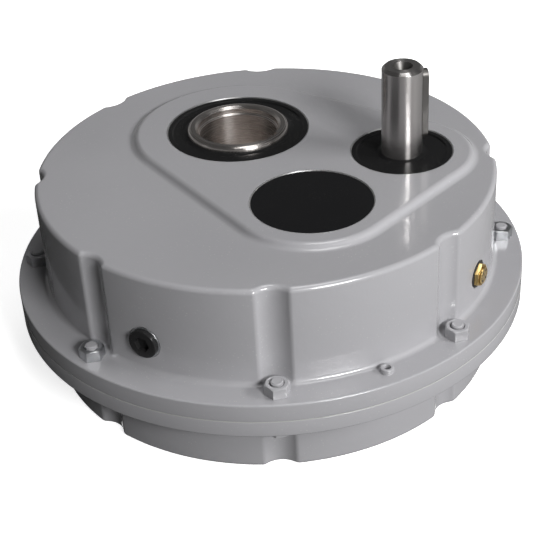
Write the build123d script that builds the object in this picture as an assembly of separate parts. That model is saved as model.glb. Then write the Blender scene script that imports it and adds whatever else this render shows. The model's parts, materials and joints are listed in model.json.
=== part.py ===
from build123d import *
from math import acos, atan2, cos, degrees, hypot, pi, radians, sin, sqrt, tan
import os

# Shaft-mounted gearbox: a round split casing with two spur gear stages.
# Millimetres, +Z up. The origin is on the output bore's axis, in the plane of the
# foot ring. +X points from the output bore to the input shaft.

# Gear train
PRESSURE_ANGLE = 20.0
HIGH_MODULE = 2.0
HIGH_PINION_TEETH = 17
HIGH_WHEEL_TEETH = 64
HIGH_WHEEL_WIDTH = 20.0
LOW_MODULE = 3.0
LOW_PINION_TEETH = 16
LOW_WHEEL_TEETH = 55
LOW_SHIFT = 0.25            # addendum moved from the big wheel to its pinion, in modules
LOW_WHEEL_WIDTH = 28.0
PINION_OVERHANG = 2.5       # how far a pinion runs past its wheel at each end
TOOTH_THINNING = 0.16       # taken off each tooth's thickness at the pitch circle
SHAFT_OFFSET = 109.0        # output axis to input axis

# Casing outline, seen along the shafts
CASE_CENTRE = (31.0, -33.0)
GEAR_CLEARANCE = 2.5        # tip of the furthest wheel to the inner wall
WALL = 9.0
FLANGE_WIDTH = 18.5
RIM_ROUND = 3.0
FOOT_CHAMFER = 1.5
ROOT_CHAMFER = 2.0          # fills the corner between the upper wall and its flange
BOLT_COUNT = 8
BOLT_START = 22.5           # angle of the first bolt from +X
BOLT_SETOUT = 7.0           # bolt circle outside the wall
SCALLOP_SETOUT = 9.5        # centres of the spanner scallops outside the wall
SPANNER_R = 13.5            # scallop cut into the walls by each bolt
SCALLOP_BLEND = 4.0

# Casing heights
PARTING_Z = 48.0
LOWER_FLANGE = 10.5
UPPER_FLANGE = 11.5
GASKET = 0.5
PAD_TOP = 125.5
PAD_HEIGHT = 3.5
PAD_SLOPE = 3.0
CEILING = 9.0
FOOT_RECESS = 3.5
FOOT_RING = 13.0
FLOOR = 7.5
HUB_PAD_LIP = 23.0          # pad metal outside each sealed bore
LAY_PAD_LIP = 13.5
INPUT_PAD_LIP = 14.5
BOSS_WALL = 8.5             # bearing boss metal outside the bearing
BOSS_LIP = 1.5              # boss length past the bearing cup

# Taper roller bearings: bore, outside diameter, cone width, cup width, overall width
HUB_BEARING = (65.0, 100.0, 23.0, 17.5, 23.0)
LAY_BEARING = (35.0, 72.0, 17.0, 15.0, 18.25)
INPUT_BEARING = (30.0, 62.0, 16.0, 14.0, 17.25)
ROLLER_TILT = 12.2          # degrees between a roller's axis and the shaft
ROLLER_TAPER = 1.8          # half the angle of a roller's cone
ROLLER_SHARE = 0.225        # roller radius as a share of the ring's radial height
RACE_GAP = 0.2

# Seals, caps and rings
HUB_SEAL_OD = 90.0
HUB_SEAL_WIDTH = 10.0
INPUT_SEAL_WIDTH = 10.0
SEAL_RIM = 2.6              # width of a seal's outer ring
SEAL_DISH = 0.8             # its web's depth below its face
SEAL_WEB = 2.4
SEAL_ARM = 2.6              # the lip's arm, measured out from the shaft
SEAL_WAIST = 1.4            # hollow between the dust lip and the main lip
SEAL_DUST_LIP = 0.2
SEAL_LIP_END = 1.2          # the arm ends this far short of the seal's width
SEAL_LIP_AT = 0.62          # share of the width at which the main lip touches
CAP_WIDTH = 8.0
CAP_SHEET = 2.5
SETBACK = 0.5               # seal and cap faces lie this far inside their bores
CIRCLIP = 2.5
CIRCLIP_BITE = 1.3          # how far a ring sits in its groove
CIRCLIP_BAND = 4.5
CIRCLIP_GAP = 34.0          # degrees between the ring's ends
SHIM = 1.0
LIP_GAP = 0.08
FIT = 0.02                  # radial clearance of what is seated and stays put
SIDE_GAP = 0.2              # axial clearance of rings and caps

# Output hub
BORE_D = 50.0
MOUTH_D = 52.0              # recess at the upper end for the retaining plate
MOUTH_DEPTH = 4.5
MOUTH_CHAMFER = 1.5
HUB_PROUD = 2.5
HUB_COLLAR_D = 80.0
HUB_COLLAR = 3.5            # collar between the lower bearing and the wheel
WHEEL_SEAT_D = 70.0
HUB_KEY = (14.0, 53.8)      # width, far side of the slot to the opposite bore wall
HUB_KEY_ANGLE = -22.0
WHEEL_KEY = (16.0, 6.0, 3.4)    # width, height, how deep it lies in the hub
HUB_SPACER_D = 76.0
EDGE_ROUND = 2.7
KEY_TOP_GAP = 0.2           # above a key, in its wheel

# Low-speed wheel
WHEEL_RIM = 7.5             # metal under the tooth roots
WHEEL_BOSS_D = 104.0
WHEEL_WEB = 14.0
WEB_HOLES = 6
WEB_HOLE_D = 14.0

# Layshaft
LAY_SHOULDER_D = 44.0
GEAR_SEAT_D = 39.0
LAY_KEY = (10.0, 8.0, 5.0)      # width, height, depth in the shaft
LAY_SPACER_D = 46.0
GEAR_GAP = 1.0              # end of the low pinion to the high-speed wheel
HIGH_WHEEL_RIM = 6.5
HIGH_WHEEL_BOSS_D = 64.0
HIGH_WHEEL_WEB = 11.0
PINION_CORE = 0.5           # shaft stock under the roots of a pinion cut on it

# Input shaft
SHAFT_D = 25.0
SHAFT_PROJECTION = 56.0     # above the pad
INPUT_BODY_D = 34.0
SHAFT_CHAMFER = 1.8
INPUT_KEY = (8.0, 7.0, 4.0)     # width, height, depth in the shaft
INPUT_KEY_LENGTH = 45.0
INPUT_KEY_DROP = 4.0        # shaft end to the key's end
INPUT_KEY_ANGLE = 35.0
CENTRE_HOLE = (6.3, 2.1, 12.0)  # mouth radius, drill radius, depth
CENTRE_CONE = 60.0          # degrees across the centre hole's cone

# Flange fasteners
BOLT_D = 8.0
BOLT_HOLE_D = 9.0
BOLT_LENGTH = 30.0
HEX_FLATS = 13.0
HEAD_HEIGHT = 5.3
NUT_HEIGHT = 6.8
THREAD_GAP = 0.05
PIN_D = 8.0
PIN_PROUD = 3.0
PIN_HOLE = (2.1, 8.0)       # extraction thread's radius and depth
PIN_ANGLE = -43.0           # roughly half way between two bolts
PIN_COUNT = 2

# Oil ports in the upper wall
PORT_COUNT = 4
PORT_START = -8.2
PORT_Z = 79.0
PORT_D = 12.0
PORT_FACE_D = 22.0          # flat cut for the sealing washer
PORT_FACE_DEPTH = 0.4
PLUG_WASHER_D = 19.5
BREATHER_WASHER_D = 16.5
WASHER = 1.0                # thickness of each sealing washer
PLUG_HEAD_D = 18.0
PLUG_HEAD = 2.8
PLUG_SHANK = 9.0
PLUG_SOCKET = (8.0, 2.6)    # hexagon across flats, depth
BREATHER_FLATS = 13.0
BREATHER_HEX = 2.8
BREATHER_CAP = (10.5, 1.0)  # diameter, height
BREATHER_VENTS = 4
BREATHER_VENT_D = 1.8

# Places that follow from the sizes above
HIGH_CENTRES = HIGH_MODULE * (HIGH_PINION_TEETH + HIGH_WHEEL_TEETH) / 2
LOW_CENTRES = LOW_MODULE * (LOW_PINION_TEETH + LOW_WHEEL_TEETH) / 2
LAY_X = (SHAFT_OFFSET**2 + LOW_CENTRES**2 - HIGH_CENTRES**2) / (2 * SHAFT_OFFSET)
LAY_Y = -sqrt(LOW_CENTRES**2 - LAY_X**2)
LAY_AXIS = (LAY_X, LAY_Y)
INPUT_AXIS = (SHAFT_OFFSET, 0.0)
LOW_TIP_R = LOW_MODULE * (LOW_WHEEL_TEETH / 2 + 1 - LOW_SHIFT)
HIGH_TIP_R = HIGH_MODULE * (HIGH_WHEEL_TEETH / 2 + 1)
LOW_REACH = hypot(*CASE_CENTRE) + LOW_TIP_R
HIGH_REACH = hypot(LAY_X - CASE_CENTRE[0], LAY_Y - CASE_CENTRE[1]) + HIGH_TIP_R
BODY_R = max(LOW_REACH, HIGH_REACH) + GEAR_CLEARANCE + WALL
FLANGE_R = BODY_R + FLANGE_WIDTH
BOLT_R = BODY_R + BOLT_SETOUT
RIM_Z = PAD_TOP - PAD_HEIGHT
FLANGE_BOTTOM = PARTING_Z - LOWER_FLANGE
FLANGE_TOP = PARTING_Z + UPPER_FLANGE
FLOOR_Z = FOOT_RECESS + FLOOR
CEILING_Z = RIM_Z - CEILING

# Bearing stacks, each given by the outer face of its cup
HUB_CUP_LOW = SETBACK + HUB_SEAL_WIDTH
HUB_CUP_HIGH = PAD_TOP - SETBACK - HUB_SEAL_WIDTH
LAY_RING_LOW = SETBACK + CAP_WIDTH + SIDE_GAP
LAY_CUP_LOW = LAY_RING_LOW + CIRCLIP
LAY_RING_HIGH = PAD_TOP - SETBACK - CAP_WIDTH - SIDE_GAP
LAY_CUP_HIGH = LAY_RING_HIGH - CIRCLIP - SHIM
INPUT_RING_LOW = LAY_RING_LOW
INPUT_CUP_LOW = INPUT_RING_LOW + CIRCLIP
INPUT_RING_HIGH = PAD_TOP - SETBACK - INPUT_SEAL_WIDTH - SIDE_GAP
INPUT_CUP_HIGH = INPUT_RING_HIGH - CIRCLIP - SHIM

# Gear heights, stacked on the lower hub bearing
LOW_WHEEL_Z = HUB_CUP_LOW + HUB_BEARING[4] + HUB_COLLAR
LOW_PINION_Z = LOW_WHEEL_Z - PINION_OVERHANG
LOW_PINION_TOP = LOW_WHEEL_Z + LOW_WHEEL_WIDTH + PINION_OVERHANG
HIGH_WHEEL_Z = LOW_PINION_TOP + GEAR_GAP
HIGH_WHEEL_TOP = HIGH_WHEEL_Z + HIGH_WHEEL_WIDTH
HIGH_PINION_Z = HIGH_WHEEL_Z - PINION_OVERHANG
HIGH_PINION_TOP = HIGH_WHEEL_TOP + PINION_OVERHANG


def polar(radius, angle):
    """Point at an angle in degrees round the origin."""
    return (radius * cos(radians(angle)), radius * sin(radians(angle)))


def on_case(radius, angle, z=0.0):
    """Place on a circle round the casing's centre, turned to face outwards."""
    x, y = polar(radius, angle)
    return Pos(CASE_CENTRE[0] + x, CASE_CENTRE[1] + y, z) * Rot(0, 0, angle)


def bolt_places(z):
    """The bolt positions at one height."""
    return [on_case(BOLT_R, BOLT_START + i * 360 / BOLT_COUNT, z) for i in range(BOLT_COUNT)]


def pin_places(z):
    """The dowel positions at one height."""
    return [on_case(BOLT_R, PIN_ANGLE + i * 360 / PIN_COUNT, z) for i in range(PIN_COUNT)]


def rod(radius, z0, z1):
    """Round bar on the Z axis between two heights."""
    return Pos(0, 0, z0) * Cylinder(radius, z1 - z0, align=(Align.CENTER, Align.CENTER, Align.MIN))


def lathe(points):
    """Solid of revolution round Z from a closed list of (radius, z) corners."""
    outline = Plane.XZ * Polyline(*points, close=True)
    return revolve(make_face(outline), Axis.Z)


def at_axis(axis, shape):
    """The shape moved from the origin to a shaft axis."""
    return Pos(axis[0], axis[1], 0) * shape


def facing_down(shape, z):
    """A shape built upwards from z = 0, turned over so that its foot is at z."""
    return Pos(0, 0, z) * Rot(180, 0, 0) * shape


# Casing shells

def belt_face(rounds):
    """Face inside a tight belt round circles (x, y, r), listed anticlockwise."""
    swings = []
    runs = []
    for (ax, ay, ar), (bx, by, br) in zip(rounds, rounds[1:] + rounds[:1]):
        reach = hypot(bx - ax, by - ay)
        swing = degrees(atan2(by - ay, bx - ax) - acos((ar - br) / reach))
        nx, ny = polar(1.0, swing)
        swings.append(swing)
        runs.append(Line((ax + ar * nx, ay + ar * ny), (bx + br * nx, by + br * ny)))
    arcs = []
    for i, (x, y, r) in enumerate(rounds):
        turn = (swings[i] - swings[i - 1]) % 360
        arcs.append(CenterArc((x, y), r, swings[i - 1], turn))
    return make_face(runs + arcs)


def shell_block(height):
    """Drum standing on z = 0, with a blended scallop at every bolt for the spanner."""
    drum = rod(BODY_R, 0, height)
    for place in PolarLocations(BODY_R + SCALLOP_SETOUT, BOLT_COUNT, start_angle=BOLT_START):
        drum -= place * rod(SPANNER_R, 0, height)
    upright = drum.edges().filter_by(Axis.Z)
    return fillet([e for e in upright if hypot(e.center().X, e.center().Y) > BODY_R - 1], SCALLOP_BLEND)


def rim_edges(drum):
    """The outline of a drum's end face."""
    return drum.faces().sort_by(Axis.Z)[-1].edges()


def flange_ring(z0, z1):
    """Plain round flange between two heights."""
    return Pos(*CASE_CENTRE) * rod(FLANGE_R, z0, z1)


def bolted(shell, z0, z1):
    """Drills the bolt and dowel holes through a flange."""
    for place in bolt_places(0):
        shell -= place * rod(BOLT_HOLE_D / 2, z0 - 1, z1 + 1)
    for place in pin_places(0):
        shell -= place * rod(PIN_D / 2 + FIT, z0 - 1, z1 + 1)
    return shell


def pad_face():
    """The belt-shaped machined pad round the three shaft bores."""
    return belt_face([
        (0.0, 0.0, HUB_SEAL_OD / 2 + HUB_PAD_LIP),
        (*LAY_AXIS, LAY_BEARING[1] / 2 + LAY_PAD_LIP),
        (*INPUT_AXIS, INPUT_BEARING[1] / 2 + INPUT_PAD_LIP),
    ])


def cavity(z0, z1):
    """The round space inside the walls between two heights."""
    return Pos(*CASE_CENTRE) * rod(BODY_R - WALL, z0, z1)


def bearing_boss(bearing, z0, z1):
    """Round boss that carries a bearing cup."""
    return rod(bearing[1] / 2 + BOSS_WALL, z0, z1)


def circlip_groove(bore_r, z):
    """Groove for a ring in a bore, from the height of its outer face."""
    return rod(bore_r + CIRCLIP_BITE + FIT, z, z + CIRCLIP)


def lower_bores():
    """Everything bored into the lower shell."""
    hub_r = HUB_BEARING[1] / 2 + FIT
    lay_r = LAY_BEARING[1] / 2 + FIT
    input_r = INPUT_BEARING[1] / 2 + FIT
    top = PARTING_Z
    return [
        rod(HUB_SEAL_OD / 2 + FIT, -1, HUB_CUP_LOW),
        rod(hub_r, HUB_CUP_LOW, top),
        at_axis(LAY_AXIS, rod(lay_r, -1, top) + circlip_groove(lay_r, LAY_RING_LOW)),
        at_axis(INPUT_AXIS, rod(input_r, -1, top) + circlip_groove(input_r, INPUT_RING_LOW)),
    ]


def upper_bores():
    """Everything bored into the upper shell."""
    hub_r = HUB_BEARING[1] / 2 + FIT
    lay_r = LAY_BEARING[1] / 2 + FIT
    input_r = INPUT_BEARING[1] / 2 + FIT
    top = PAD_TOP + 1
    lay_groove = circlip_groove(lay_r, LAY_RING_HIGH - CIRCLIP)
    input_groove = circlip_groove(input_r, INPUT_RING_HIGH - CIRCLIP)
    return [
        rod(HUB_SEAL_OD / 2 + FIT, HUB_CUP_HIGH, top),
        rod(hub_r, PARTING_Z, HUB_CUP_HIGH),
        at_axis(LAY_AXIS, rod(lay_r, PARTING_Z, top) + lay_groove),
        at_axis(INPUT_AXIS, rod(input_r, PARTING_Z, top) + input_groove),
    ]


def make_lower_casing():
    """Lower shell: floor, drum wall, flange and the three lower bearing bosses."""
    drum = shell_block(FLANGE_BOTTOM)
    drum = mirror(chamfer(rim_edges(drum), FOOT_CHAMFER), Plane.XY)
    shell = Pos(*CASE_CENTRE, FLANGE_BOTTOM) * drum
    shell += flange_ring(FLANGE_BOTTOM, PARTING_Z - GASKET / 2)
    shell -= cavity(FLOOR_Z, PARTING_Z)
    recess = Pos(*CASE_CENTRE) * Circle(BODY_R - FOOT_RING) - pad_face()
    shell -= extrude(recess, FOOT_RECESS)
    shell += bearing_boss(HUB_BEARING, FOOT_RECESS, HUB_CUP_LOW + HUB_BEARING[3] + BOSS_LIP)
    lay_top = LAY_CUP_LOW + LAY_BEARING[3] + BOSS_LIP
    shell += at_axis(LAY_AXIS, bearing_boss(LAY_BEARING, FOOT_RECESS, lay_top))
    input_top = INPUT_CUP_LOW + INPUT_BEARING[3] + BOSS_LIP
    shell += at_axis(INPUT_AXIS, bearing_boss(INPUT_BEARING, FOOT_RECESS, input_top))
    for bore in lower_bores():
        shell -= bore
    return bolted(shell, FLANGE_BOTTOM, PARTING_Z)


def root_edges(shell):
    """Edges where the upper wall meets its flange."""
    in_plane = shell.edges().filter_by_position(Axis.Z, FLANGE_TOP, FLANGE_TOP)
    return [e for e in in_plane if edge_reach(e) < FLANGE_R - 1]


def edge_reach(edge):
    """Distance from the casing's centre to the middle of an edge."""
    middle = edge.position_at(0.5)
    return hypot(middle.X - CASE_CENTRE[0], middle.Y - CASE_CENTRE[1])


def make_upper_casing():
    """Upper shell: drum, flange, raised pad, bearing bosses and oil ports."""
    drum = shell_block(RIM_Z - FLANGE_TOP)
    shell = Pos(*CASE_CENTRE, FLANGE_TOP) * fillet(rim_edges(drum), RIM_ROUND)
    shell += flange_ring(PARTING_Z + GASKET / 2, FLANGE_TOP)
    shell = chamfer(root_edges(shell), ROOT_CHAMFER)
    pad = extrude(pad_face(), PAD_HEIGHT + 1)
    pad = chamfer(pad.faces().sort_by(Axis.Z)[-1].edges(), PAD_HEIGHT, PAD_SLOPE)
    shell += Pos(0, 0, RIM_Z - 1) * pad
    shell -= cavity(PARTING_Z, CEILING_Z)
    hub_foot = HUB_CUP_HIGH - HUB_BEARING[3] - BOSS_LIP
    shell += bearing_boss(HUB_BEARING, hub_foot, RIM_Z)
    lay_foot = LAY_CUP_HIGH - LAY_BEARING[3] - BOSS_LIP
    shell += at_axis(LAY_AXIS, bearing_boss(LAY_BEARING, lay_foot, RIM_Z))
    input_foot = INPUT_CUP_HIGH - INPUT_BEARING[3] - BOSS_LIP
    shell += at_axis(INPUT_AXIS, bearing_boss(INPUT_BEARING, input_foot, RIM_Z))
    for bore in upper_bores():
        shell -= bore
    for place in port_places():
        shell -= place * rod(PORT_D / 2, -2 * WALL, WALL)
        shell -= place * rod(PORT_FACE_D / 2, 0, WALL)
    return bolted(shell, PARTING_Z, FLANGE_TOP)


def make_gasket():
    """Thin gasket between the two flanges."""
    z0 = PARTING_Z - GASKET / 2
    sheet = flange_ring(z0, z0 + GASKET) - cavity(z0 - 1, z0 + 2)
    return bolted(sheet, z0, z0 + GASKET)


# Oil ports and plugs

def port_places():
    """Each oil port's seat, with its own Z pointing out of the casing."""
    seat_r = BODY_R - PORT_FACE_DEPTH - sagitta(PORT_FACE_D / 2, BODY_R)
    turns = [PORT_START - i * 360 / PORT_COUNT for i in range(PORT_COUNT)]
    return [on_case(seat_r, turn, PORT_Z) * Rot(0, 90, 0) for turn in turns]


def sagitta(half_chord, radius):
    """Depth of the flat that a chord cuts from a circle."""
    return radius - sqrt(radius**2 - half_chord**2)


def make_washer(outside_d):
    """Sealing washer under a plug's head."""
    return rod(outside_d / 2, 0, WASHER) - rod(PORT_D / 2, -1, WASHER + 1)


def make_oil_plug():
    """Flanged plug with a hexagon socket."""
    top = WASHER + PLUG_HEAD
    head = rod(PLUG_HEAD_D / 2, WASHER, top)
    socket = extrude(RegularPolygon(PLUG_SOCKET[0] / 2, 6, major_radius=False), PLUG_SOCKET[1])
    shank = rod(PORT_D / 2 - THREAD_GAP, WASHER - PLUG_SHANK, WASHER)
    return head + shank - Pos(0, 0, top - PLUG_SOCKET[1]) * socket


def make_breather():
    """Brass vent plug: hexagon, low round cap and vent holes through the cap's face."""
    hexagon = hex_block(BREATHER_FLATS, BREATHER_HEX)
    plug = Pos(0, 0, WASHER) * hexagon
    cap_z = WASHER + BREATHER_HEX
    plug += rod(BREATHER_CAP[0] / 2, cap_z, cap_z + BREATHER_CAP[1])
    plug += rod(PORT_D / 2 - THREAD_GAP, WASHER - PLUG_SHANK, WASHER)
    for i in range(BREATHER_VENTS):
        x, y = polar(BREATHER_CAP[0] / 3, 45 + i * 360 / BREATHER_VENTS)
        plug -= Pos(x, y, 0) * rod(BREATHER_VENT_D / 2, cap_z - 1, cap_z + BREATHER_CAP[1] + 1)
    return plug


# Flange fasteners

def hex_block(flats, height):
    """Hexagon prism standing on z = 0."""
    return extrude(RegularPolygon(flats / 2, 6, major_radius=False), height)


def make_bolt():
    """Hexagon bolt, its head below the flange and its shank pointing up."""
    return facing_down(hex_block(HEX_FLATS, HEAD_HEIGHT), 0) + rod(BOLT_D / 2, 0, BOLT_LENGTH)


def make_nut():
    """Hexagon nut with a clear bore for the bolt."""
    return hex_block(HEX_FLATS, NUT_HEIGHT) - rod(BOLT_D / 2 + THREAD_GAP, -1, NUT_HEIGHT + 1)


def make_dowel():
    """Locating pin with an extraction hole in its outer end."""
    top = FLANGE_TOP + PIN_PROUD
    pin = chamfer(rod(PIN_D / 2, FLANGE_BOTTOM, top).edges().filter_by(GeomType.CIRCLE), 0.6)
    return pin - rod(PIN_HOLE[0], top - PIN_HOLE[1], top + 1)


# Bearings, seals, caps and rings

def bearing_lines(bearing):
    """Roller size and the two race lines of a taper roller bearing."""
    bore, outside, cone_width, cup_width, width = bearing
    pitch_r = (bore + outside) / 4
    roller_r = ROLLER_SHARE * (outside - bore) / 2
    length = 0.72 * cup_width
    middle = cup_width / 2 + 0.4
    tilt = radians(ROLLER_TILT)
    outer = radians(ROLLER_TILT + ROLLER_TAPER)
    inner = radians(ROLLER_TILT - ROLLER_TAPER)

    def cup_r(z):
        mid_r = pitch_r + roller_r * cos(tilt) + RACE_GAP
        return mid_r + (z - middle + roller_r * sin(tilt)) * tan(outer)

    def cone_r(z):
        mid_r = pitch_r - roller_r * cos(tilt) - RACE_GAP
        return mid_r + (z - middle - roller_r * sin(tilt)) * tan(inner)

    return pitch_r, roller_r, length, middle, cup_r, cone_r


def make_cup(bearing):
    """Outer ring, its thick face at z = 0 and its race opening upwards."""
    cup_r = bearing_lines(bearing)[4]
    outside, cup_width = bearing[1] / 2, bearing[3]
    return lathe([(outside, 0), (outside, cup_width), (cup_r(cup_width), cup_width), (cup_r(0), 0)])


def make_cone(bearing):
    """Inner ring with a small and a large rib that keep the rollers."""
    bore, outside, cone_width, cup_width, width = bearing
    pitch_r, roller_r, length, middle, cup_r, cone_r = bearing_lines(bearing)
    tilt = radians(ROLLER_TILT)
    rib_low = middle - length / 2 * cos(tilt) - RACE_GAP
    rib_high = middle + length / 2 * cos(tilt) + roller_r * sin(tilt) + 2 * RACE_GAP
    foot = width - cone_width
    rib = 0.3 * roller_r
    return lathe([
        (bore / 2 + FIT, foot), (cone_r(foot) + rib, foot), (cone_r(rib_low) + rib, rib_low),
        (cone_r(rib_low), rib_low), (cone_r(rib_high), rib_high),
        (cone_r(rib_high) + 2 * rib, rib_high), (cone_r(width) + 2 * rib, width),
        (bore / 2 + FIT, width),
    ])


def make_rollers(bearing):
    """The caged rollers, drawn as the ring that they fill between the races."""
    pitch_r, roller_r, length, middle = bearing_lines(bearing)[:4]
    tilt = radians(ROLLER_TILT)
    slant = length / 2 * tan(radians(ROLLER_TAPER))
    corners = [(-1, -1), (-1, 1), (1, 1), (1, -1)]
    points = []
    for side, end in corners:
        across = side * (roller_r + end * slant)
        along = end * length / 2
        points.append((
            pitch_r + along * sin(tilt) + across * cos(tilt),
            middle + along * cos(tilt) - across * sin(tilt),
        ))
    return lathe(points)


def pair_of_bearings(maker, bearing, low_z, high_z, axis):
    """The same ring of a lower and an upper bearing, face to face on one shaft."""
    low = Pos(0, 0, low_z) * maker(bearing)
    high = facing_down(maker(bearing), high_z)
    return [at_axis(axis, low), at_axis(axis, high)]


def make_seal(shaft_d, outside_d, width):
    """Lip seal with its outer face at z = 0, reaching down by its width."""
    lip_r = shaft_d / 2 + LIP_GAP
    outer_r = outside_d / 2
    ring_r = outer_r - SEAL_RIM
    arm_r = lip_r + SEAL_ARM
    web_z = -SEAL_DISH - SEAL_WEB
    return lathe([
        (outer_r, 0), (ring_r, 0), (ring_r - SEAL_DISH, -SEAL_DISH), (arm_r, -SEAL_DISH),
        (lip_r, -SEAL_DUST_LIP), (lip_r + SEAL_WAIST, -SEAL_WEB), (lip_r, -SEAL_LIP_AT * width),
        (arm_r, SEAL_LIP_END - width), (arm_r, web_z), (ring_r, web_z),
        (ring_r, -width), (outer_r, -width),
    ])


def make_cap(outside_d):
    """Pressed sealing cap with its flat outer face at z = 0."""
    outer_r = outside_d / 2
    return lathe([
        (0, 0), (outer_r, 0), (outer_r, -CAP_WIDTH),
        (outer_r - CAP_SHEET, -CAP_WIDTH), (outer_r - CAP_SHEET, -CAP_SHEET), (0, -CAP_SHEET),
    ])


def make_circlip(bore_d):
    """Internal snap ring, an open band."""
    outer_r = bore_d / 2 + CIRCLIP_BITE
    inner_r = outer_r - CIRCLIP_BAND
    half = radians(CIRCLIP_GAP / 2)
    far = 2 * outer_r
    wedge = make_face(Polyline((0, 0), (far, -far * tan(half)), (far, far * tan(half)), close=True))
    return extrude(Circle(outer_r) - Circle(inner_r) - wedge, CIRCLIP)


def make_shim(bearing):
    """Flat ring that sets the play of a bearing pair."""
    outer_r = bearing[1] / 2
    return rod(outer_r, 0, SHIM) - rod(outer_r - CIRCLIP_BAND, -1, SHIM + 1)


# Gears and shafts

def involute(angle):
    """The involute function of a pressure angle in radians."""
    return tan(angle) - angle


def gear_face(module, teeth, shift, hole_r=0.0):
    """Spur gear outline with a tooth centred on +X.

    Each flank is the arc through three points of the true involute. The tooth's half
    angle at a radius is its half angle at the pitch circle, plus the involute of the
    pressure angle, less the involute of the pressure angle at that radius.
    """
    alpha = radians(PRESSURE_ANGLE)
    pitch_r = module * teeth / 2
    base_r = pitch_r * cos(alpha)
    tip_r = pitch_r + module * (1 + shift)
    root_r = pitch_r - module * (1.25 - shift)
    thickness = module * (pi / 2 + 2 * shift * tan(alpha)) - TOOTH_THINNING
    start_r = max(base_r, root_r)
    mid_r = (start_r + tip_r) / 2

    def half_angle(radius):
        share = min(base_r / radius, 1.0)
        return thickness / (2 * pitch_r) + involute(alpha) - involute(acos(share))

    def spot(radius, angle):
        return (radius * cos(angle), radius * sin(angle))

    pitch = 2 * pi / teeth
    start, mid, tip = half_angle(start_r), half_angle(mid_r), half_angle(tip_r)
    edges = []
    for a in (i * pitch for i in range(teeth)):
        edges.append(ThreePointArc(spot(start_r, a - start), spot(mid_r, a - mid), spot(tip_r, a - tip)))
        edges.append(Line(spot(tip_r, a - tip), spot(tip_r, a + tip)))
        edges.append(ThreePointArc(spot(tip_r, a + tip), spot(mid_r, a + mid), spot(start_r, a + start)))
        gap = [spot(start_r, a + start), spot(root_r, a + start)]
        gap += [spot(root_r, a + pitch - start), spot(start_r, a + pitch - start)]
        corners = gap if root_r < base_r else [gap[0], gap[3]]
        edges.extend(Polyline(*corners).edges())
    face = make_face(edges)
    if hole_r:
        face -= Circle(hole_r)
    return face


def gear_blank(module, teeth, shift, z0, z1, hole_r=0.0):
    """Toothed ring or pinion between two heights, a tooth on +X."""
    return Pos(0, 0, z0) * extrude(gear_face(module, teeth, shift, hole_r), z1 - z0)


def standing_key(size, length, seat_r, z_mid, grow=0.0):
    """Key upright in a shaft whose seat has the given radius, on the +X side."""
    width, height, depth = size
    blank = extrude(SlotOverall(length + grow, width + grow), height)
    return Pos(seat_r - depth, 0, z_mid) * Rot(0, 90, 0) * blank


def key_slot(size, seat_r, z0, z1):
    """Straight slot that a wheel's bore needs over a shaft key."""
    width, height, depth = size
    reach = seat_r - depth + height + KEY_TOP_GAP
    slot = Box(reach, width + 2 * FIT, z1 - z0, align=(Align.MIN, Align.CENTER, Align.MIN))
    return Pos(0, 0, z0) * slot


def dished(blank, z0, z1, outer_r, inner_r, web):
    """Turns a groove into both faces of a wheel, leaving a web between rim and boss."""
    depth = (z1 - z0 - web) / 2
    slope = 1.5
    low = lathe([
        (inner_r, z0 - 1), (outer_r, z0 - 1), (outer_r - slope, z0 + depth),
        (inner_r + slope, z0 + depth),
    ])
    high = lathe([
        (inner_r + slope, z1 - depth), (outer_r - slope, z1 - depth), (outer_r, z1 + 1),
        (inner_r, z1 + 1),
    ])
    return blank - low - high


def make_output_wheel():
    """Low-speed wheel with dished faces, lightening holes and a key slot."""
    z0, z1 = LOW_WHEEL_Z, LOW_WHEEL_Z + LOW_WHEEL_WIDTH
    seat_r = WHEEL_SEAT_D / 2
    wheel = gear_blank(LOW_MODULE, LOW_WHEEL_TEETH, -LOW_SHIFT, z0, z1, seat_r + FIT)
    rim_r = LOW_MODULE * (LOW_WHEEL_TEETH / 2 - 1.25 - LOW_SHIFT) - WHEEL_RIM
    boss_r = WHEEL_BOSS_D / 2
    wheel = dished(wheel, z0, z1, rim_r, boss_r, WHEEL_WEB)
    for i in range(WEB_HOLES):
        spot = Pos(*polar((rim_r + boss_r) / 2, i * 360 / WEB_HOLES))
        wheel -= spot * rod(WEB_HOLE_D / 2, z0, z1)
    wheel -= Rot(0, 0, HUB_KEY_ANGLE + 180) * key_slot(WHEEL_KEY, seat_r, z0 - 1, z1 + 1)
    half_tooth = 180 / LOW_WHEEL_TEETH
    return Rot(0, 0, degrees(atan2(LAY_Y, LAY_X)) + half_tooth) * wheel


def make_layshaft_gear():
    """High-speed wheel keyed to the layshaft."""
    z0, z1 = HIGH_WHEEL_Z, HIGH_WHEEL_TOP
    seat_r = GEAR_SEAT_D / 2
    wheel = gear_blank(HIGH_MODULE, HIGH_WHEEL_TEETH, 0.0, z0, z1, seat_r + FIT)
    rim_r = HIGH_MODULE * (HIGH_WHEEL_TEETH / 2 - 1.25) - HIGH_WHEEL_RIM
    wheel = dished(wheel, z0, z1, rim_r, HIGH_WHEEL_BOSS_D / 2, HIGH_WHEEL_WEB)
    wheel -= key_slot(LAY_KEY, seat_r, z0 - 1, z1 + 1)
    return Rot(0, 0, mesh_angle()) * wheel


def mesh_angle():
    """Direction from the layshaft to the input shaft, in degrees."""
    return degrees(atan2(-LAY_Y, SHAFT_OFFSET - LAY_X))


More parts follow.
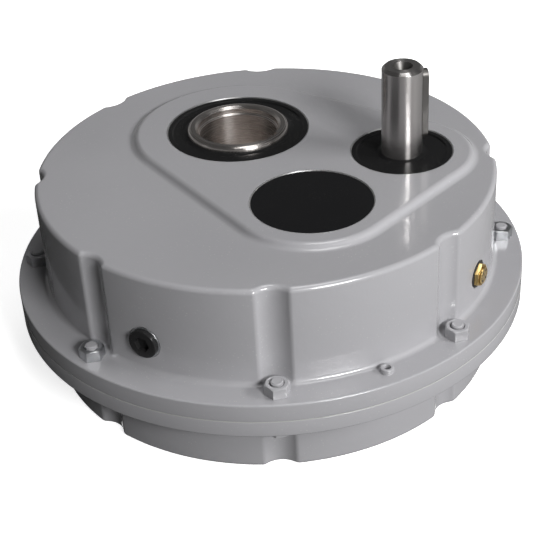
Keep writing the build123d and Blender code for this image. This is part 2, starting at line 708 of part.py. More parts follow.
def make_output_hub():
    """Hollow output hub with keyed bore, shoulder collar and two bearing seats."""
    seat_r = HUB_BEARING[0] / 2
    low_cone = HUB_CUP_LOW + HUB_BEARING[4]
    high_cone = HUB_CUP_HIGH - HUB_BEARING[4]
    top = PAD_TOP + HUB_PROUD
    bore_r, mouth_r = BORE_D / 2, MOUTH_D / 2
    wheel_top = LOW_WHEEL_Z + LOW_WHEEL_WIDTH
    hub = lathe([
        (bore_r, 0), (seat_r - 1, 0), (seat_r, 1), (seat_r, low_cone),
        (HUB_COLLAR_D / 2, low_cone), (HUB_COLLAR_D / 2, LOW_WHEEL_Z),
        (WHEEL_SEAT_D / 2, LOW_WHEEL_Z), (WHEEL_SEAT_D / 2, wheel_top),
        (seat_r, wheel_top), (seat_r, top), (mouth_r + MOUTH_CHAMFER, top),
        (mouth_r, top - MOUTH_CHAMFER), (mouth_r, top - MOUTH_DEPTH),
        (bore_r, top - MOUTH_DEPTH - 1),
    ])
    rim = hub.edges().filter_by(GeomType.CIRCLE).filter_by_position(Axis.Z, top, top)
    hub = fillet(rim.sort_by(SortBy.LENGTH)[-1], EDGE_ROUND)
    slot_reach = HUB_KEY[1] - bore_r
    slot = Box(slot_reach, HUB_KEY[0], top + 2, align=(Align.MIN, Align.CENTER, Align.MIN))
    hub -= Pos(0, 0, -1) * Rot(0, 0, HUB_KEY_ANGLE) * slot
    wheel_mid = LOW_WHEEL_Z + LOW_WHEEL_WIDTH / 2
    key = standing_key(WHEEL_KEY, LOW_WHEEL_WIDTH - 2, WHEEL_SEAT_D / 2, wheel_mid, 2 * FIT)
    return hub - Rot(0, 0, wheel_key_angle()) * key


def wheel_key_angle():
    """Angle of the wheel's key, once the wheel is turned into mesh."""
    half_tooth = 180 / LOW_WHEEL_TEETH
    return HUB_KEY_ANGLE + 180 + degrees(atan2(LAY_Y, LAY_X)) + half_tooth


def make_wheel_key():
    """Key between the hub and the low-speed wheel."""
    wheel_mid = LOW_WHEEL_Z + LOW_WHEEL_WIDTH / 2
    key = standing_key(WHEEL_KEY, LOW_WHEEL_WIDTH - 2, WHEEL_SEAT_D / 2, wheel_mid)
    return Rot(0, 0, wheel_key_angle()) * key


def make_hub_spacer():
    """Sleeve from the wheel to the upper hub bearing."""
    z0 = LOW_WHEEL_Z + LOW_WHEEL_WIDTH
    z1 = HUB_CUP_HIGH - HUB_BEARING[4]
    return rod(HUB_SPACER_D / 2, z0, z1) - rod(HUB_BEARING[0] / 2 + FIT, z0 - 1, z1 + 1)


def make_layshaft():
    """Layshaft with its integral low-speed pinion."""
    journal = LAY_BEARING[0] / 2
    low_cone = LAY_CUP_LOW + LAY_BEARING[4]
    high_cone = LAY_CUP_HIGH - LAY_BEARING[4]
    foot = low_cone - LAY_BEARING[2] - 0.5
    top = high_cone + LAY_BEARING[2] + 0.5
    shaft = lathe([
        (0, foot), (journal - 1, foot), (journal, foot + 1), (journal, low_cone),
        (LAY_SHOULDER_D / 2, low_cone), (LAY_SHOULDER_D / 2, LOW_PINION_Z),
        (GEAR_SEAT_D / 2, LOW_PINION_Z), (GEAR_SEAT_D / 2, HIGH_WHEEL_TOP - 0.5),
        (journal, HIGH_WHEEL_TOP - 0.5), (journal, top - 1), (journal - 1, top), (0, top),
    ])
    to_wheel = degrees(atan2(-LAY_Y, -LAY_X))
    pinion = gear_blank(LOW_MODULE, LOW_PINION_TEETH, LOW_SHIFT, LOW_PINION_Z, LOW_PINION_TOP)
    shaft += Rot(0, 0, to_wheel) * pinion
    rest = rod(LAY_SHOULDER_D / 2, LOW_PINION_TOP, HIGH_WHEEL_Z)
    key = standing_key(LAY_KEY, HIGH_WHEEL_WIDTH - 2, GEAR_SEAT_D / 2, lay_key_mid(), 2 * FIT)
    return shaft + rest - Rot(0, 0, mesh_angle()) * key


def lay_key_mid():
    """Middle height of the layshaft gear and its key."""
    return HIGH_WHEEL_Z + HIGH_WHEEL_WIDTH / 2


def make_layshaft_key():
    """Key between the layshaft and its gear."""
    key = standing_key(LAY_KEY, HIGH_WHEEL_WIDTH - 2, GEAR_SEAT_D / 2, lay_key_mid())
    return Rot(0, 0, mesh_angle()) * key


def make_layshaft_spacer():
    """Sleeve from the layshaft gear to the upper bearing."""
    z0, z1 = HIGH_WHEEL_TOP, LAY_CUP_HIGH - LAY_BEARING[4]
    return rod(LAY_SPACER_D / 2, z0, z1) - rod(LAY_BEARING[0] / 2 + FIT, z0 - 1, z1 + 1)


def make_input_shaft():
    """Input shaft with its integral high-speed pinion, seal journal and keyed end."""
    journal = INPUT_BEARING[0] / 2
    end_r = SHAFT_D / 2
    low_cone = INPUT_CUP_LOW + INPUT_BEARING[4]
    high_cone = INPUT_CUP_HIGH - INPUT_BEARING[4]
    foot = low_cone - INPUT_BEARING[2] - 0.5
    top = PAD_TOP + SHAFT_PROJECTION
    step = high_cone + INPUT_BEARING[2] + 1
    body_r = INPUT_BODY_D / 2
    mouth_r, drill_r, depth = CENTRE_HOLE
    cone_depth = (mouth_r - drill_r) / tan(radians(CENTRE_CONE / 2))
    core_r = HIGH_MODULE * (HIGH_PINION_TEETH / 2 - 1.25) - PINION_CORE
    shaft = lathe([
        (0, foot), (journal - 1, foot), (journal, foot + 1), (journal, low_cone),
        (body_r, low_cone), (body_r, HIGH_PINION_Z), (core_r, HIGH_PINION_Z),
        (core_r, HIGH_PINION_TOP), (body_r, HIGH_PINION_TOP), (body_r, high_cone),
        (journal, high_cone), (journal, step - 1), (journal - 1, step), (end_r, step),
        (end_r, top - SHAFT_CHAMFER), (end_r - SHAFT_CHAMFER, top), (mouth_r, top),
        (drill_r, top - cone_depth), (drill_r, top - depth), (0, top - depth - 1),
    ])
    pinion = gear_blank(HIGH_MODULE, HIGH_PINION_TEETH, 0.0, HIGH_PINION_Z, HIGH_PINION_TOP)
    half_tooth = 180 / HIGH_PINION_TEETH
    shaft += Rot(0, 0, mesh_angle() + 180 + half_tooth) * pinion
    return shaft - Rot(0, 0, INPUT_KEY_ANGLE) * input_key_blank(2 * FIT)


def input_key_blank(grow=0.0):
    """The input key's shape in place, or the keyway that it fits."""
    mid = PAD_TOP + SHAFT_PROJECTION - INPUT_KEY_DROP - INPUT_KEY_LENGTH / 2
    return standing_key(INPUT_KEY, INPUT_KEY_LENGTH, SHAFT_D / 2, mid, grow)


def write(name, *shapes):
    """Writes one node, as one solid or as a group of separate solids."""
    solids = []
    for shape in shapes:
        solids.extend(shape.solids())
    node = solids[0] if len(solids) == 1 else Compound(children=solids)
    node.label = name
    export_step(node, f"parts/{name}.step")


def write_casing():
    """Shells, gasket, fasteners, dowels and plugs."""
    write("upper_casing", make_upper_casing())
    write("lower_casing", make_lower_casing())
    write("casing_gasket", make_gasket())
    bolt, nut, dowel = make_bolt(), make_nut(), make_dowel()
    write("flange_bolts", *[place * bolt for place in bolt_places(FLANGE_BOTTOM)])
    write("flange_nuts", *[place * nut for place in bolt_places(FLANGE_TOP)])
    write("locating_dowels", *[place * dowel for place in pin_places(0)])
    ports = port_places()
    write("breather_plug", ports[0] * make_breather())
    write("breather_washer", ports[0] * make_washer(BREATHER_WASHER_D))
    write("oil_plugs", *[place * make_oil_plug() for place in ports[1:]])
    write("oil_plug_washers", *[place * make_washer(PLUG_WASHER_D) for place in ports[1:]])


def write_seals():
    """Seals, caps, snap rings and shims in the casing bores."""
    hub_seal = make_seal(HUB_BEARING[0], HUB_SEAL_OD, HUB_SEAL_WIDTH)
    write("upper_hub_seal", Pos(0, 0, PAD_TOP - SETBACK) * hub_seal)
    write("lower_hub_seal", facing_down(hub_seal, SETBACK))
    input_seal = make_seal(SHAFT_D, INPUT_BEARING[1], INPUT_SEAL_WIDTH)
    write("input_shaft_seal", at_axis(INPUT_AXIS, Pos(0, 0, PAD_TOP - SETBACK) * input_seal))
    lay_cap, input_cap = make_cap(LAY_BEARING[1]), make_cap(INPUT_BEARING[1])
    write("upper_layshaft_cap", at_axis(LAY_AXIS, Pos(0, 0, PAD_TOP - SETBACK) * lay_cap))
    write("lower_layshaft_cap", at_axis(LAY_AXIS, facing_down(lay_cap, SETBACK)))
    write("lower_input_cap", at_axis(INPUT_AXIS, facing_down(input_cap, SETBACK)))
    lay_ring, input_ring = make_circlip(LAY_BEARING[1]), make_circlip(INPUT_BEARING[1])
    write(
        "bore_snap_rings",
        at_axis(LAY_AXIS, Pos(0, 0, LAY_RING_LOW) * lay_ring),
        at_axis(LAY_AXIS, Pos(0, 0, LAY_RING_HIGH - CIRCLIP) * lay_ring),
        at_axis(INPUT_AXIS, Pos(0, 0, INPUT_RING_LOW) * input_ring),
        at_axis(INPUT_AXIS, Pos(0, 0, INPUT_RING_HIGH - CIRCLIP) * input_ring),
    )
    write(
        "bearing_shims",
        at_axis(LAY_AXIS, Pos(0, 0, LAY_CUP_HIGH) * make_shim(LAY_BEARING)),
        at_axis(INPUT_AXIS, Pos(0, 0, INPUT_CUP_HIGH) * make_shim(INPUT_BEARING)),
    )


def write_bearings():
    """Cups in the casing, cones on the shafts and caged rollers between them."""
    stations = {
        "hub": (HUB_BEARING, HUB_CUP_LOW, HUB_CUP_HIGH, (0.0, 0.0)),
        "layshaft": (LAY_BEARING, LAY_CUP_LOW, LAY_CUP_HIGH, LAY_AXIS),
        "input": (INPUT_BEARING, INPUT_CUP_LOW, INPUT_CUP_HIGH, INPUT_AXIS),
    }
    for name, station in stations.items():
        write(f"{name}_bearing_cups", *pair_of_bearings(make_cup, *station))
        write(f"{name}_bearing_cones", *pair_of_bearings(make_cone, *station))
        write(f"{name}_bearing_rollers", *pair_of_bearings(make_rollers, *station))


def write_gear_train():
    """Input shaft, layshaft and output hub with what is keyed to them."""
    write("input_shaft", at_axis(INPUT_AXIS, make_input_shaft()))
    write("input_key", at_axis(INPUT_AXIS, Rot(0, 0, INPUT_KEY_ANGLE) * input_key_blank()))
    write("layshaft", at_axis(LAY_AXIS, make_layshaft()))
    write("layshaft_gear", at_axis(LAY_AXIS, make_layshaft_gear()))
    write("layshaft_gear_key", at_axis(LAY_AXIS, make_layshaft_key()))
    write("layshaft_spacer", at_axis(LAY_AXIS, make_layshaft_spacer()))
    write("output_hub", make_output_hub())
    write("output_wheel", make_output_wheel())
    write("output_wheel_key", make_wheel_key())
    write("hub_spacer", make_hub_spacer())


os.makedirs("parts", exist_ok=True)
write_casing()
write_seals()
write_bearings()
write_gear_train()
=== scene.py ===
"""Looks of a round shaft-mounted gearbox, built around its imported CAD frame.

Lengths in the dataclasses are millimetres in the frame of the part: the origin is on the
output bore's axis in the plane of the end ring, +X points to the input shaft, +Z is up.
"""

import json
import logging
import math
from dataclasses import dataclass, field, replace
from enum import Enum

import bmesh
import bpy
import numpy as np
from mathutils import Matrix, Vector
from mathutils.geometry import tessellate_polygon

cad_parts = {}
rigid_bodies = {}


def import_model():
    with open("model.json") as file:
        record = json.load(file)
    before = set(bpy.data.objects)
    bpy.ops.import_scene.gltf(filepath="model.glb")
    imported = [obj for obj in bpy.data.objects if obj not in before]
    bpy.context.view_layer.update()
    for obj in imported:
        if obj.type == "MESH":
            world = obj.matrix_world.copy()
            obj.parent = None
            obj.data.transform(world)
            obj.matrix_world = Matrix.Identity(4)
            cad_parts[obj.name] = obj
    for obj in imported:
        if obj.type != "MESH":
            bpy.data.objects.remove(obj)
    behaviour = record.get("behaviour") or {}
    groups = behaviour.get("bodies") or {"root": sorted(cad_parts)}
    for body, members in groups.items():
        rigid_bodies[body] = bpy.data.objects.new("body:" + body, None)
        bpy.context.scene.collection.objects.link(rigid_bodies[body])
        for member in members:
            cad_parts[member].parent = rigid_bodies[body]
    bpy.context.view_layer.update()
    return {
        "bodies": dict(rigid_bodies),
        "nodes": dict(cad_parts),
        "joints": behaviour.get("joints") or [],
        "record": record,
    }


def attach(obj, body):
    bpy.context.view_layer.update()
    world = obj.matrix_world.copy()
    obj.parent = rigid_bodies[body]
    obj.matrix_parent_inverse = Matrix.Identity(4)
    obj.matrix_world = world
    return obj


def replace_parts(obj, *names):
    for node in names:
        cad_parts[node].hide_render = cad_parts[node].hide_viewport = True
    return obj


LOG = logging.getLogger("gearbox")
MM = 0.001
TAU = 2.0 * math.pi
HUB_CENTRE = (0.0, 0.0, 0.0)
LAY_CENTRE = (76.432, -74.164, 0.0)
INPUT_CENTRE = (109.0, 0.0, 0.0)
AXES = (HUB_CENTRE, LAY_CENTRE, INPUT_CENTRE)
BORE_SEGMENTS = 144
HEX_SEGMENTS = 96
THREAD_SEGMENTS = 48
FASTENER_CREASE = 22.0
PORT_CREASE = 25.0

Triple = tuple[float, float, float]
Piece = bpy.types.Object
Node = bpy.types.Node
Socket = bpy.types.NodeSocket
Tree = bpy.types.NodeTree


class Body(Enum):
    """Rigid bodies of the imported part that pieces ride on."""

    CASING = "casing"
    INPUT = "input_shaft"


# ---- surfaces


def wrapped(angle: float | np.ndarray) -> float | np.ndarray:
    """Angle brought to -pi..pi."""
    return (angle + math.pi) % TAU - math.pi


def all_round(count: int) -> np.ndarray:
    """Even angles once round, the last one left out."""
    return np.linspace(0.0, TAU, count, endpoint=False)


def circle(radius: float, angles: np.ndarray, centre: tuple[float, float] = (0.0, 0.0)) -> np.ndarray:
    """Points (n, 2) at the given angles: centre + radius * (cos, sin)."""
    return np.stack([centre[0] + radius * np.cos(angles), centre[1] + radius * np.sin(angles)], axis=-1)


def wound(radius: float | np.ndarray, angles: np.ndarray, height: float | np.ndarray) -> np.ndarray:
    """Points (r cos a, r sin a, z) of radii, angles and heights that fit one shape."""
    r, a, z = np.broadcast_arrays(radius, angles, height)
    return np.stack([r * np.cos(a), r * np.sin(a), z], axis=-1)


def hexagon_radius(flats: float, angles: np.ndarray) -> np.ndarray:
    """A hexagon's radius at each angle: (flats / 2) / cos(a mod 60 - 30 degrees)."""
    return (flats / 2) / np.cos(angles % (math.pi / 3) - math.pi / 6)


def eased(corners: list[Triple], steps: int = 6) -> np.ndarray:
    """Profile whose corners are replaced by tangent arcs.

    At a corner with unit directions a (back) and b (on), the arc's tangent points lie
    radius / tan(half the inner angle) from the corner, and its centre on their bisector.

    Args:
        corners: (x, y, radius) of each corner; radius 0 keeps it sharp.
        steps: spans of each arc.

    Returns:
        The profile's points, (n, 2).
    """
    spots = np.array([c[:2] for c in corners], float)
    rows = []
    for i, (x, y, radius) in enumerate(corners):
        here = spots[i]
        if radius <= 0 or i in (0, len(corners) - 1):
            rows.append(here[None])
            continue
        back = (spots[i - 1] - here) / np.linalg.norm(spots[i - 1] - here)
        on = (spots[i + 1] - here) / np.linalg.norm(spots[i + 1] - here)
        half = math.acos(float(np.clip(back @ on, -1.0, 1.0))) / 2
        bisector = (back + on) / np.linalg.norm(back + on)
        centre = here + bisector * radius / math.sin(half)
        first = here + back * radius / math.tan(half) - centre
        last = here + on * radius / math.tan(half) - centre
        start = math.atan2(first[1], first[0])
        turn = wrapped(math.atan2(last[1], last[0]) - start)
        rows.append(centre + circle(radius, start + turn * np.linspace(0.0, 1.0, steps + 1)))
    return np.concatenate(rows)


def turned(profile: np.ndarray, segments: int = 96) -> np.ndarray:
    """Surface of revolution: (r cos a, r sin a, z) for each profile point and angle a.

    Args:
        profile: (n, 2) of radius and height.
        segments: angles round the axis.

    Returns:
        Grid (n, segments, 3), to be closed round its second axis.
    """
    return wound(profile[:, :1], all_round(segments), profile[:, 1:])


def swept(path: np.ndarray, normals: np.ndarray, profile: np.ndarray) -> np.ndarray:
    """Profile carried along a closed plan curve: path + offset * normal, at each height.

    Args:
        path: (m, 2) plan points. normals: (m, 2) outward unit normals.
        profile: (n, 2) of outward offset and height.

    Returns:
        Grid (n, m, 3), to be closed round its second axis.
    """
    flat = path[None] + profile[:, 0, None, None] * normals[None]
    tall = np.repeat(profile[:, 1, None, None], len(path), axis=1)
    return np.concatenate([flat, tall], axis=2)


@dataclass
class Skin:
    """Collects grids and flat fills in millimetres and turns them into one closed mesh."""

    points: list[np.ndarray] = field(default_factory=list)
    faces: list[list[int]] = field(default_factory=list)
    count: int = 0

    def grid(
        self, net: np.ndarray, place: Matrix | None = None, skip: np.ndarray | None = None,
    ) -> "Skin":
        """Adds a grid that closes round its second axis.

        Args:
            net: (n, m, 3) points. place: optional transform in millimetres.
            skip: columns whose faces are left out.

        Returns:
            The skin itself.
        """
        rows, cols = net.shape[:2]
        index = self.count + np.arange(rows * cols).reshape(rows, cols)
        after = np.roll(index, -1, axis=1)
        quads = np.stack([index[:-1], after[:-1], after[1:], index[1:]], axis=-1)
        if skip is not None:
            quads = quads[:, ~skip]
        self._take(net.reshape(-1, 3), place)
        self.faces.extend(quads.reshape(-1, 4).tolist())
        return self

    def loose(self, spots: np.ndarray, faces: list[list[int]]) -> "Skin":
        """Adds faces that count their corners within the given points."""
        base = self.count
        self._take(spots, None)
        self.faces.extend([[base + corner for corner in face] for face in faces])
        return self

    def fill(self, loops: list[np.ndarray], z: float) -> "Skin":
        """Adds a level face between an outer loop and the holes in it.

        Args:
            loops: (n, 2) plan points, the outer loop first. z: height.

        Returns:
            The skin itself.
        """
        outlines = [[Vector((x, y, 0.0)) for x, y in loop.tolist()] for loop in loops]
        flat = np.concatenate(loops)
        spots = np.column_stack([flat, np.full(len(flat), z)])
        return self.loose(spots, [list(face) for face in tessellate_polygon(outlines)])

    def bores(self, profiles: list[np.ndarray]) -> tuple[list[np.ndarray], list[np.ndarray]]:
        """Adds a turned bore on each of the three axes.

        Args:
            profiles: (n, 2) of radius and height for each bore.

        Returns:
            Plan loops of the bores' first rows, and of their last rows.
        """
        firsts, lasts = [], []
        angles = all_round(BORE_SEGMENTS)
        for axis, profile in zip(AXES, profiles):
            self.grid(turned(profile, BORE_SEGMENTS), Matrix.Translation(axis))
            firsts.append(circle(profile[0, 0], angles, axis[:2]))
            lasts.append(circle(profile[-1, 0], angles, axis[:2]))
        return firsts, lasts

    def _take(self, spots: np.ndarray, place: Matrix | None) -> None:
        """Stores points, moved by a placing matrix."""
        if place is not None:
            turn = np.array(place)
            spots = spots @ turn[:3, :3].T + turn[:3, 3]
        self.points.append(spots)
        self.count += len(spots)

    def build(self, name: str, finish: "Finish", body: Body, crease: float = 32.0) -> Piece:
        """Makes the Blender piece: merged, faces outward, smooth up to an angle.

        Args:
            name: the piece's name. finish: what dresses it. body: the CAD body it rides on.
            crease: edges sharper than this many degrees stay crisp.

        Returns:
            The finished object, at the origin.
        """
        mesh = bpy.data.meshes.new(name)
        mesh.from_pydata((np.concatenate(self.points) * MM).tolist(), [], self.faces)
        work = bmesh.new()
        work.from_mesh(mesh)
        bmesh.ops.remove_doubles(work, verts=work.verts, dist=1e-6)
        bmesh.ops.dissolve_degenerate(work, edges=work.edges, dist=1e-7)
        bmesh.ops.recalc_face_normals(work, faces=work.faces)
        work.to_mesh(mesh)
        work.free()
        mesh.polygons.foreach_set("use_smooth", np.ones(len(mesh.polygons), bool))
        mesh.set_sharp_from_angle(angle=math.radians(crease))
        piece = bpy.data.objects.new(name, mesh)
        bpy.context.scene.collection.objects.link(piece)
        mesh.materials.append(finish.material())
        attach(piece, body.value)
        LOG.info("%s: %d faces on %s", name, len(mesh.polygons), body.value)
        return piece


# ---- shader groups that several finishes share


class Effect(Enum):
    """Shader groups with named inputs and outputs."""

    ORANGE_PEEL = "orange_peel"
    DUST = "dust"
    TURNED_GRAIN = "turned_grain"
    MOTTLE = "mottle"


class Nodes:
    """Short helpers over one node tree."""

    def __init__(self, tree: Tree) -> None:
        """Keeps the tree."""
        self.tree = tree

    def feed(self, node: Node, **values: object) -> Node:
        """Sets a node's properties and inputs by name; a socket is linked in.

        Args:
            node: the node. values: by name, with _ for a space in an input's name.

        Returns:
            The node itself.
        """
        for key, value in values.items():
            if hasattr(node, key):
                setattr(node, key, value)
            elif isinstance(value, Socket):
                self.tree.links.new(value, node.inputs[key.replace("_", " ")])
            else:
                node.inputs[key.replace("_", " ")].default_value = value
        return node

    def add(self, kind: str, **values: object) -> Node:
        """New node of a kind, fed by name."""
        return self.feed(self.tree.nodes.new(kind), **values)

    def noise(self, vector: Socket, scale: float | Socket, detail: float = 3.0) -> Socket:
        """Factor of a noise texture over a vector."""
        return self.add("ShaderNodeTexNoise", Vector=vector, Scale=scale, Detail=detail).outputs["Fac"]

    def ramp(self, value: Socket, low: float, high: float) -> Socket:
        """Value mapped from low..high to 0..1 and clamped."""
        node = self.add("ShaderNodeMapRange", From_Min=low, From_Max=high, Value=value)
        return node.outputs["Result"]

    def split(self, vector: Socket) -> bpy.types.bpy_prop_collection:
        """The X, Y and Z outputs of a vector."""
        return self.add("ShaderNodeSeparateXYZ", Vector=vector).outputs

    def mix(self, factor: Socket, first: object, second: object) -> Socket:
        """Two colours or sockets blended by a factor."""
        node = self.add("ShaderNodeMix", data_type="RGBA", A=first, B=second, Factor=factor)
        return node.outputs["Result"]

    def math(self, operation: str, *terms: float | Socket) -> Socket:
        """One arithmetic step on sockets or plain numbers."""
        node = self.add("ShaderNodeMath", operation=operation)
        for term, slot in zip(terms, node.inputs):
            if isinstance(term, Socket):
                self.tree.links.new(term, slot)
            else:
                slot.default_value = term
        return node.outputs[0]


class EffectShelf:
    """Builds each shared shader group once."""

    @staticmethod
    def get(effect: Effect) -> Tree:
        """The group for an effect, made on first use."""
        known = bpy.data.node_groups.get(effect.value)
        return known or getattr(EffectShelf, "_" + effect.value)()

    @staticmethod
    def _open(effect: Effect, inputs: dict[str, float], outputs: list[str]) -> tuple:
        """Empty group with a Vector input and float sockets: its helper, given sockets and sink."""
        tree = bpy.data.node_groups.new(effect.value, "ShaderNodeTree")
        tree.interface.new_socket("Vector", in_out="INPUT", socket_type="NodeSocketVector")
        for name, value in inputs.items():
            socket = tree.interface.new_socket(name, in_out="INPUT", socket_type="NodeSocketFloat")
            socket.default_value = value
        for name in outputs:
            tree.interface.new_socket(name, in_out="OUTPUT", socket_type="NodeSocketFloat")
        nodes = Nodes(tree)
        return nodes, nodes.add("NodeGroupInput").outputs, nodes.add("NodeGroupOutput")

    @staticmethod
    def _orange_peel() -> Tree:
        """Low rounded bumps of sprayed enamel: broad noise plus a share of fine noise."""
        nodes, given, sink = EffectShelf._open(
            Effect.ORANGE_PEEL, {"Scale": 260.0, "Fine": 0.25}, ["Height"])
        broad = nodes.noise(given["Vector"], given["Scale"], 1.5)
        fine = nodes.noise(given["Vector"], nodes.math("MULTIPLY", given["Scale"], 4.0), 2.0)
        share = nodes.math("MULTIPLY", fine, given["Fine"])
        nodes.feed(sink, Height=nodes.math("ADD", broad, share))
        return nodes.tree

    @staticmethod
    def _dust() -> Tree:
        """Sparse specks: the small cells of a Voronoi texture, thinned by a noise."""
        nodes, given, sink = EffectShelf._open(
            Effect.DUST, {"Scale": 420.0, "Size": 0.16, "Amount": 0.5}, ["Mask"])
        cells = nodes.add("ShaderNodeTexVoronoi", Vector=given["Vector"], Scale=given["Scale"])
        speck = nodes.math("LESS_THAN", cells.outputs["Distance"], given["Size"])
        patch = nodes.ramp(nodes.noise(given["Vector"], 55.0), 0.45, 0.7)
        mask = nodes.math("MULTIPLY", speck, patch)
        nodes.feed(sink, Mask=nodes.math("MULTIPLY", mask, given["Amount"]))
        return nodes.tree

    @staticmethod
    def _turned_grain() -> Tree:
        """Tool marks of a lathe: noise over radius and height only, so it forms rings."""
        nodes, given, sink = EffectShelf._open(
            Effect.TURNED_GRAIN, {"Pitch": 2600.0}, ["Height", "Mask"])
        place = nodes.split(given["Vector"])
        squares = [nodes.math("POWER", place[axis], 2.0) for axis in "XY"]
        radius = nodes.math("SQRT", nodes.math("ADD", *squares), 0.0)
        joined = nodes.add("ShaderNodeCombineXYZ", X=radius, Z=place["Z"])
        marks = nodes.noise(joined.outputs["Vector"], given["Pitch"], 2.0)
        nodes.feed(sink, Height=marks, Mask=nodes.ramp(marks, 0.35, 0.65))
        return nodes.tree

    @staticmethod
    def _mottle() -> Tree:
        """Slow change of tone, as on a hand-sprayed or handled surface."""
        nodes, given, sink = EffectShelf._open(Effect.MOTTLE, {"Scale": 14.0}, ["Mask"])
        slow = nodes.noise(given["Vector"], given["Scale"], 1.5)
        nodes.feed(sink, Mask=nodes.ramp(slow, 0.15, 0.85))
        return nodes.tree


# ---- finishes


def grey(tone: float) -> Triple:
    """A neutral colour."""
    return (tone, tone, tone)


@dataclass(frozen=True)
class Finish:
    """What every finish shares: its name, its slot in the record and how its colour varies."""

    name: str
    slot: str
    colour: Triple
    shade: Triple
    roughness: float
    spread: float = 0.08
    metallic: float = 0.0
    mottle_scale: float = 14.0
    centre: Triple = HUB_CENTRE

    def material(self) -> bpy.types.Material:
        """The finish's material, made on first use.

        Its label differs from every slot of the record, because the frame brings plain
        materials that carry the slots' names.

        Returns:
            The Blender material.
        """
        label = self.name + "_look"
        known = bpy.data.materials.get(label)
        if known:
            return known
        made = bpy.data.materials.new(label)
        made.use_nodes = True
        nodes = Nodes(made.node_tree)
        shader = nodes.feed(made.node_tree.nodes["Principled BSDF"], Metallic=self.metallic)
        places = nodes.add("ShaderNodeTexCoord").outputs["Object"]
        shift = nodes.add("ShaderNodeMapping", Location=[-c * MM for c in self.centre], Vector=places)
        self._dress(nodes, shader, shift.outputs["Vector"])
        made.diffuse_color = (*self.colour, 1.0)
        return made

    def _place(self, nodes: Nodes, effect: Effect, vector: Socket, **values: float) -> Node:
        """Puts a shared group into the material with its own values."""
        group = EffectShelf.get(effect)
        return nodes.add("ShaderNodeGroup", node_tree=group, Vector=vector, **values)

    def _tone(self, nodes: Nodes, shader: Node, vector: Socket) -> Socket:
        """Colour and roughness that drift between two tones."""
        drift = self._place(nodes, Effect.MOTTLE, vector, Scale=self.mottle_scale).outputs["Mask"]
        tone = nodes.mix(drift, (*self.colour, 1.0), (*self.shade, 1.0))
        self._roughen(nodes, shader, drift)
        nodes.feed(shader, Base_Color=tone)
        return tone

    def _roughen(self, nodes: Nodes, shader: Node, mask: Socket) -> None:
        """Roughness that grows by the spread where the mask is full."""
        rough = nodes.math("MULTIPLY", mask, self.spread)
        nodes.feed(shader, Roughness=nodes.math("ADD", rough, self.roughness))

    def _speckle(self, nodes: Nodes, shader: Node, tone: Socket, specks: Node, colour: Triple) -> None:
        """Lays specks of a paler colour over the tone."""
        nodes.feed(shader, Base_Color=nodes.mix(specks.outputs["Mask"], tone, (*colour, 1.0)))

    def _bump(self, nodes: Nodes, shader: Node, texture: Node, strength: float, depth: float) -> None:
        """Feeds a texture's height into the shader's normal."""
        height = texture.outputs["Height"]
        bump = nodes.add("ShaderNodeBump", Strength=strength, Distance=depth, Height=height)
        nodes.feed(shader, Normal=bump.outputs["Normal"])

    def _dress(self, nodes: Nodes, shader: Node, vector: Socket) -> None:
        """Fills in the material; finishes with more detail replace it."""
        self._tone(nodes, shader, vector)


@dataclass(frozen=True)
class Enamel(Finish):
    """Sprayed gloss enamel on cast iron, with orange peel and a little dust."""

    peel: float = 0.06
    peel_scale: float = 150.0
    peel_depth: float = 0.002
    coat: float = 0.6
    coat_roughness: float = 0.06
    dust: float = 0.25
    dust_colour: Triple = (0.62, 0.61, 0.58)

    def _dress(self, nodes: Nodes, shader: Node, vector: Socket) -> None:
        """Two close tones, pale specks, clear coat and a low bump."""
        tone = self._tone(nodes, shader, vector)
        specks = self._place(nodes, Effect.DUST, vector, Amount=self.dust)
        self._speckle(nodes, shader, tone, specks, self.dust_colour)
        nodes.feed(shader, Coat_Weight=self.coat, Coat_Roughness=self.coat_roughness)
        peel = self._place(nodes, Effect.ORANGE_PEEL, vector, Scale=self.peel_scale)
        self._bump(nodes, shader, peel, self.peel, self.peel_depth)


@dataclass(frozen=True)
class TurnedSteel(Finish):
    """Steel with the fine rings of turning or grinding round its own axis."""

    pitch: float = 2600.0
    groove: float = 0.03
    groove_depth: float = 0.0004
    stretch: float = 0.85

    def _dress(self, nodes: Nodes, shader: Node, vector: Socket) -> None:
        """Rings in height and roughness over two close tones.

        The highlight is drawn out along the axis: the tangent is the centred place crossed with
        the axis, turned with the object.
        """
        self._tone(nodes, shader, vector)
        nodes.feed(shader, Anisotropic=self.stretch, Anisotropic_Rotation=0.25)
        around = nodes.add("ShaderNodeVectorMath", operation="CROSS_PRODUCT")
        around.inputs[0].default_value = (0.0, 0.0, 1.0)
        nodes.tree.links.new(vector, around.inputs[1])
        follow = nodes.add(
            "ShaderNodeVectorTransform", vector_type="VECTOR", convert_from="OBJECT",
            convert_to="WORLD", Vector=around.outputs["Vector"])
        nodes.feed(shader, Tangent=follow.outputs["Vector"])
        grain = self._place(nodes, Effect.TURNED_GRAIN, vector, Pitch=self.pitch)
        self._roughen(nodes, shader, grain.outputs["Mask"])
        self._bump(nodes, shader, grain, self.groove, self.groove_depth)


@dataclass(frozen=True)
class Moulded(Finish):
    """Rubber or plastic with a faint skin texture and specks of dust."""

    dust: float = 0.35
    dust_colour: Triple = (0.30, 0.29, 0.27)
    skin: float = 0.10
    skin_depth: float = 0.0003
    index: float = 1.12

    def _dress(self, nodes: Nodes, shader: Node, vector: Socket) -> None:
        """Two close tones, pale specks and a fine bump."""
        tone = self._tone(nodes, shader, vector)
        nodes.feed(shader, IOR=self.index)
        specks = self._place(nodes, Effect.DUST, vector, Scale=700.0, Size=0.14, Amount=self.dust)
        self._speckle(nodes, shader, tone, specks, self.dust_colour)
        peel = self._place(nodes, Effect.ORANGE_PEEL, vector, Scale=900.0, Fine=0.5)
        self._bump(nodes, shader, peel, self.skin, self.skin_depth)


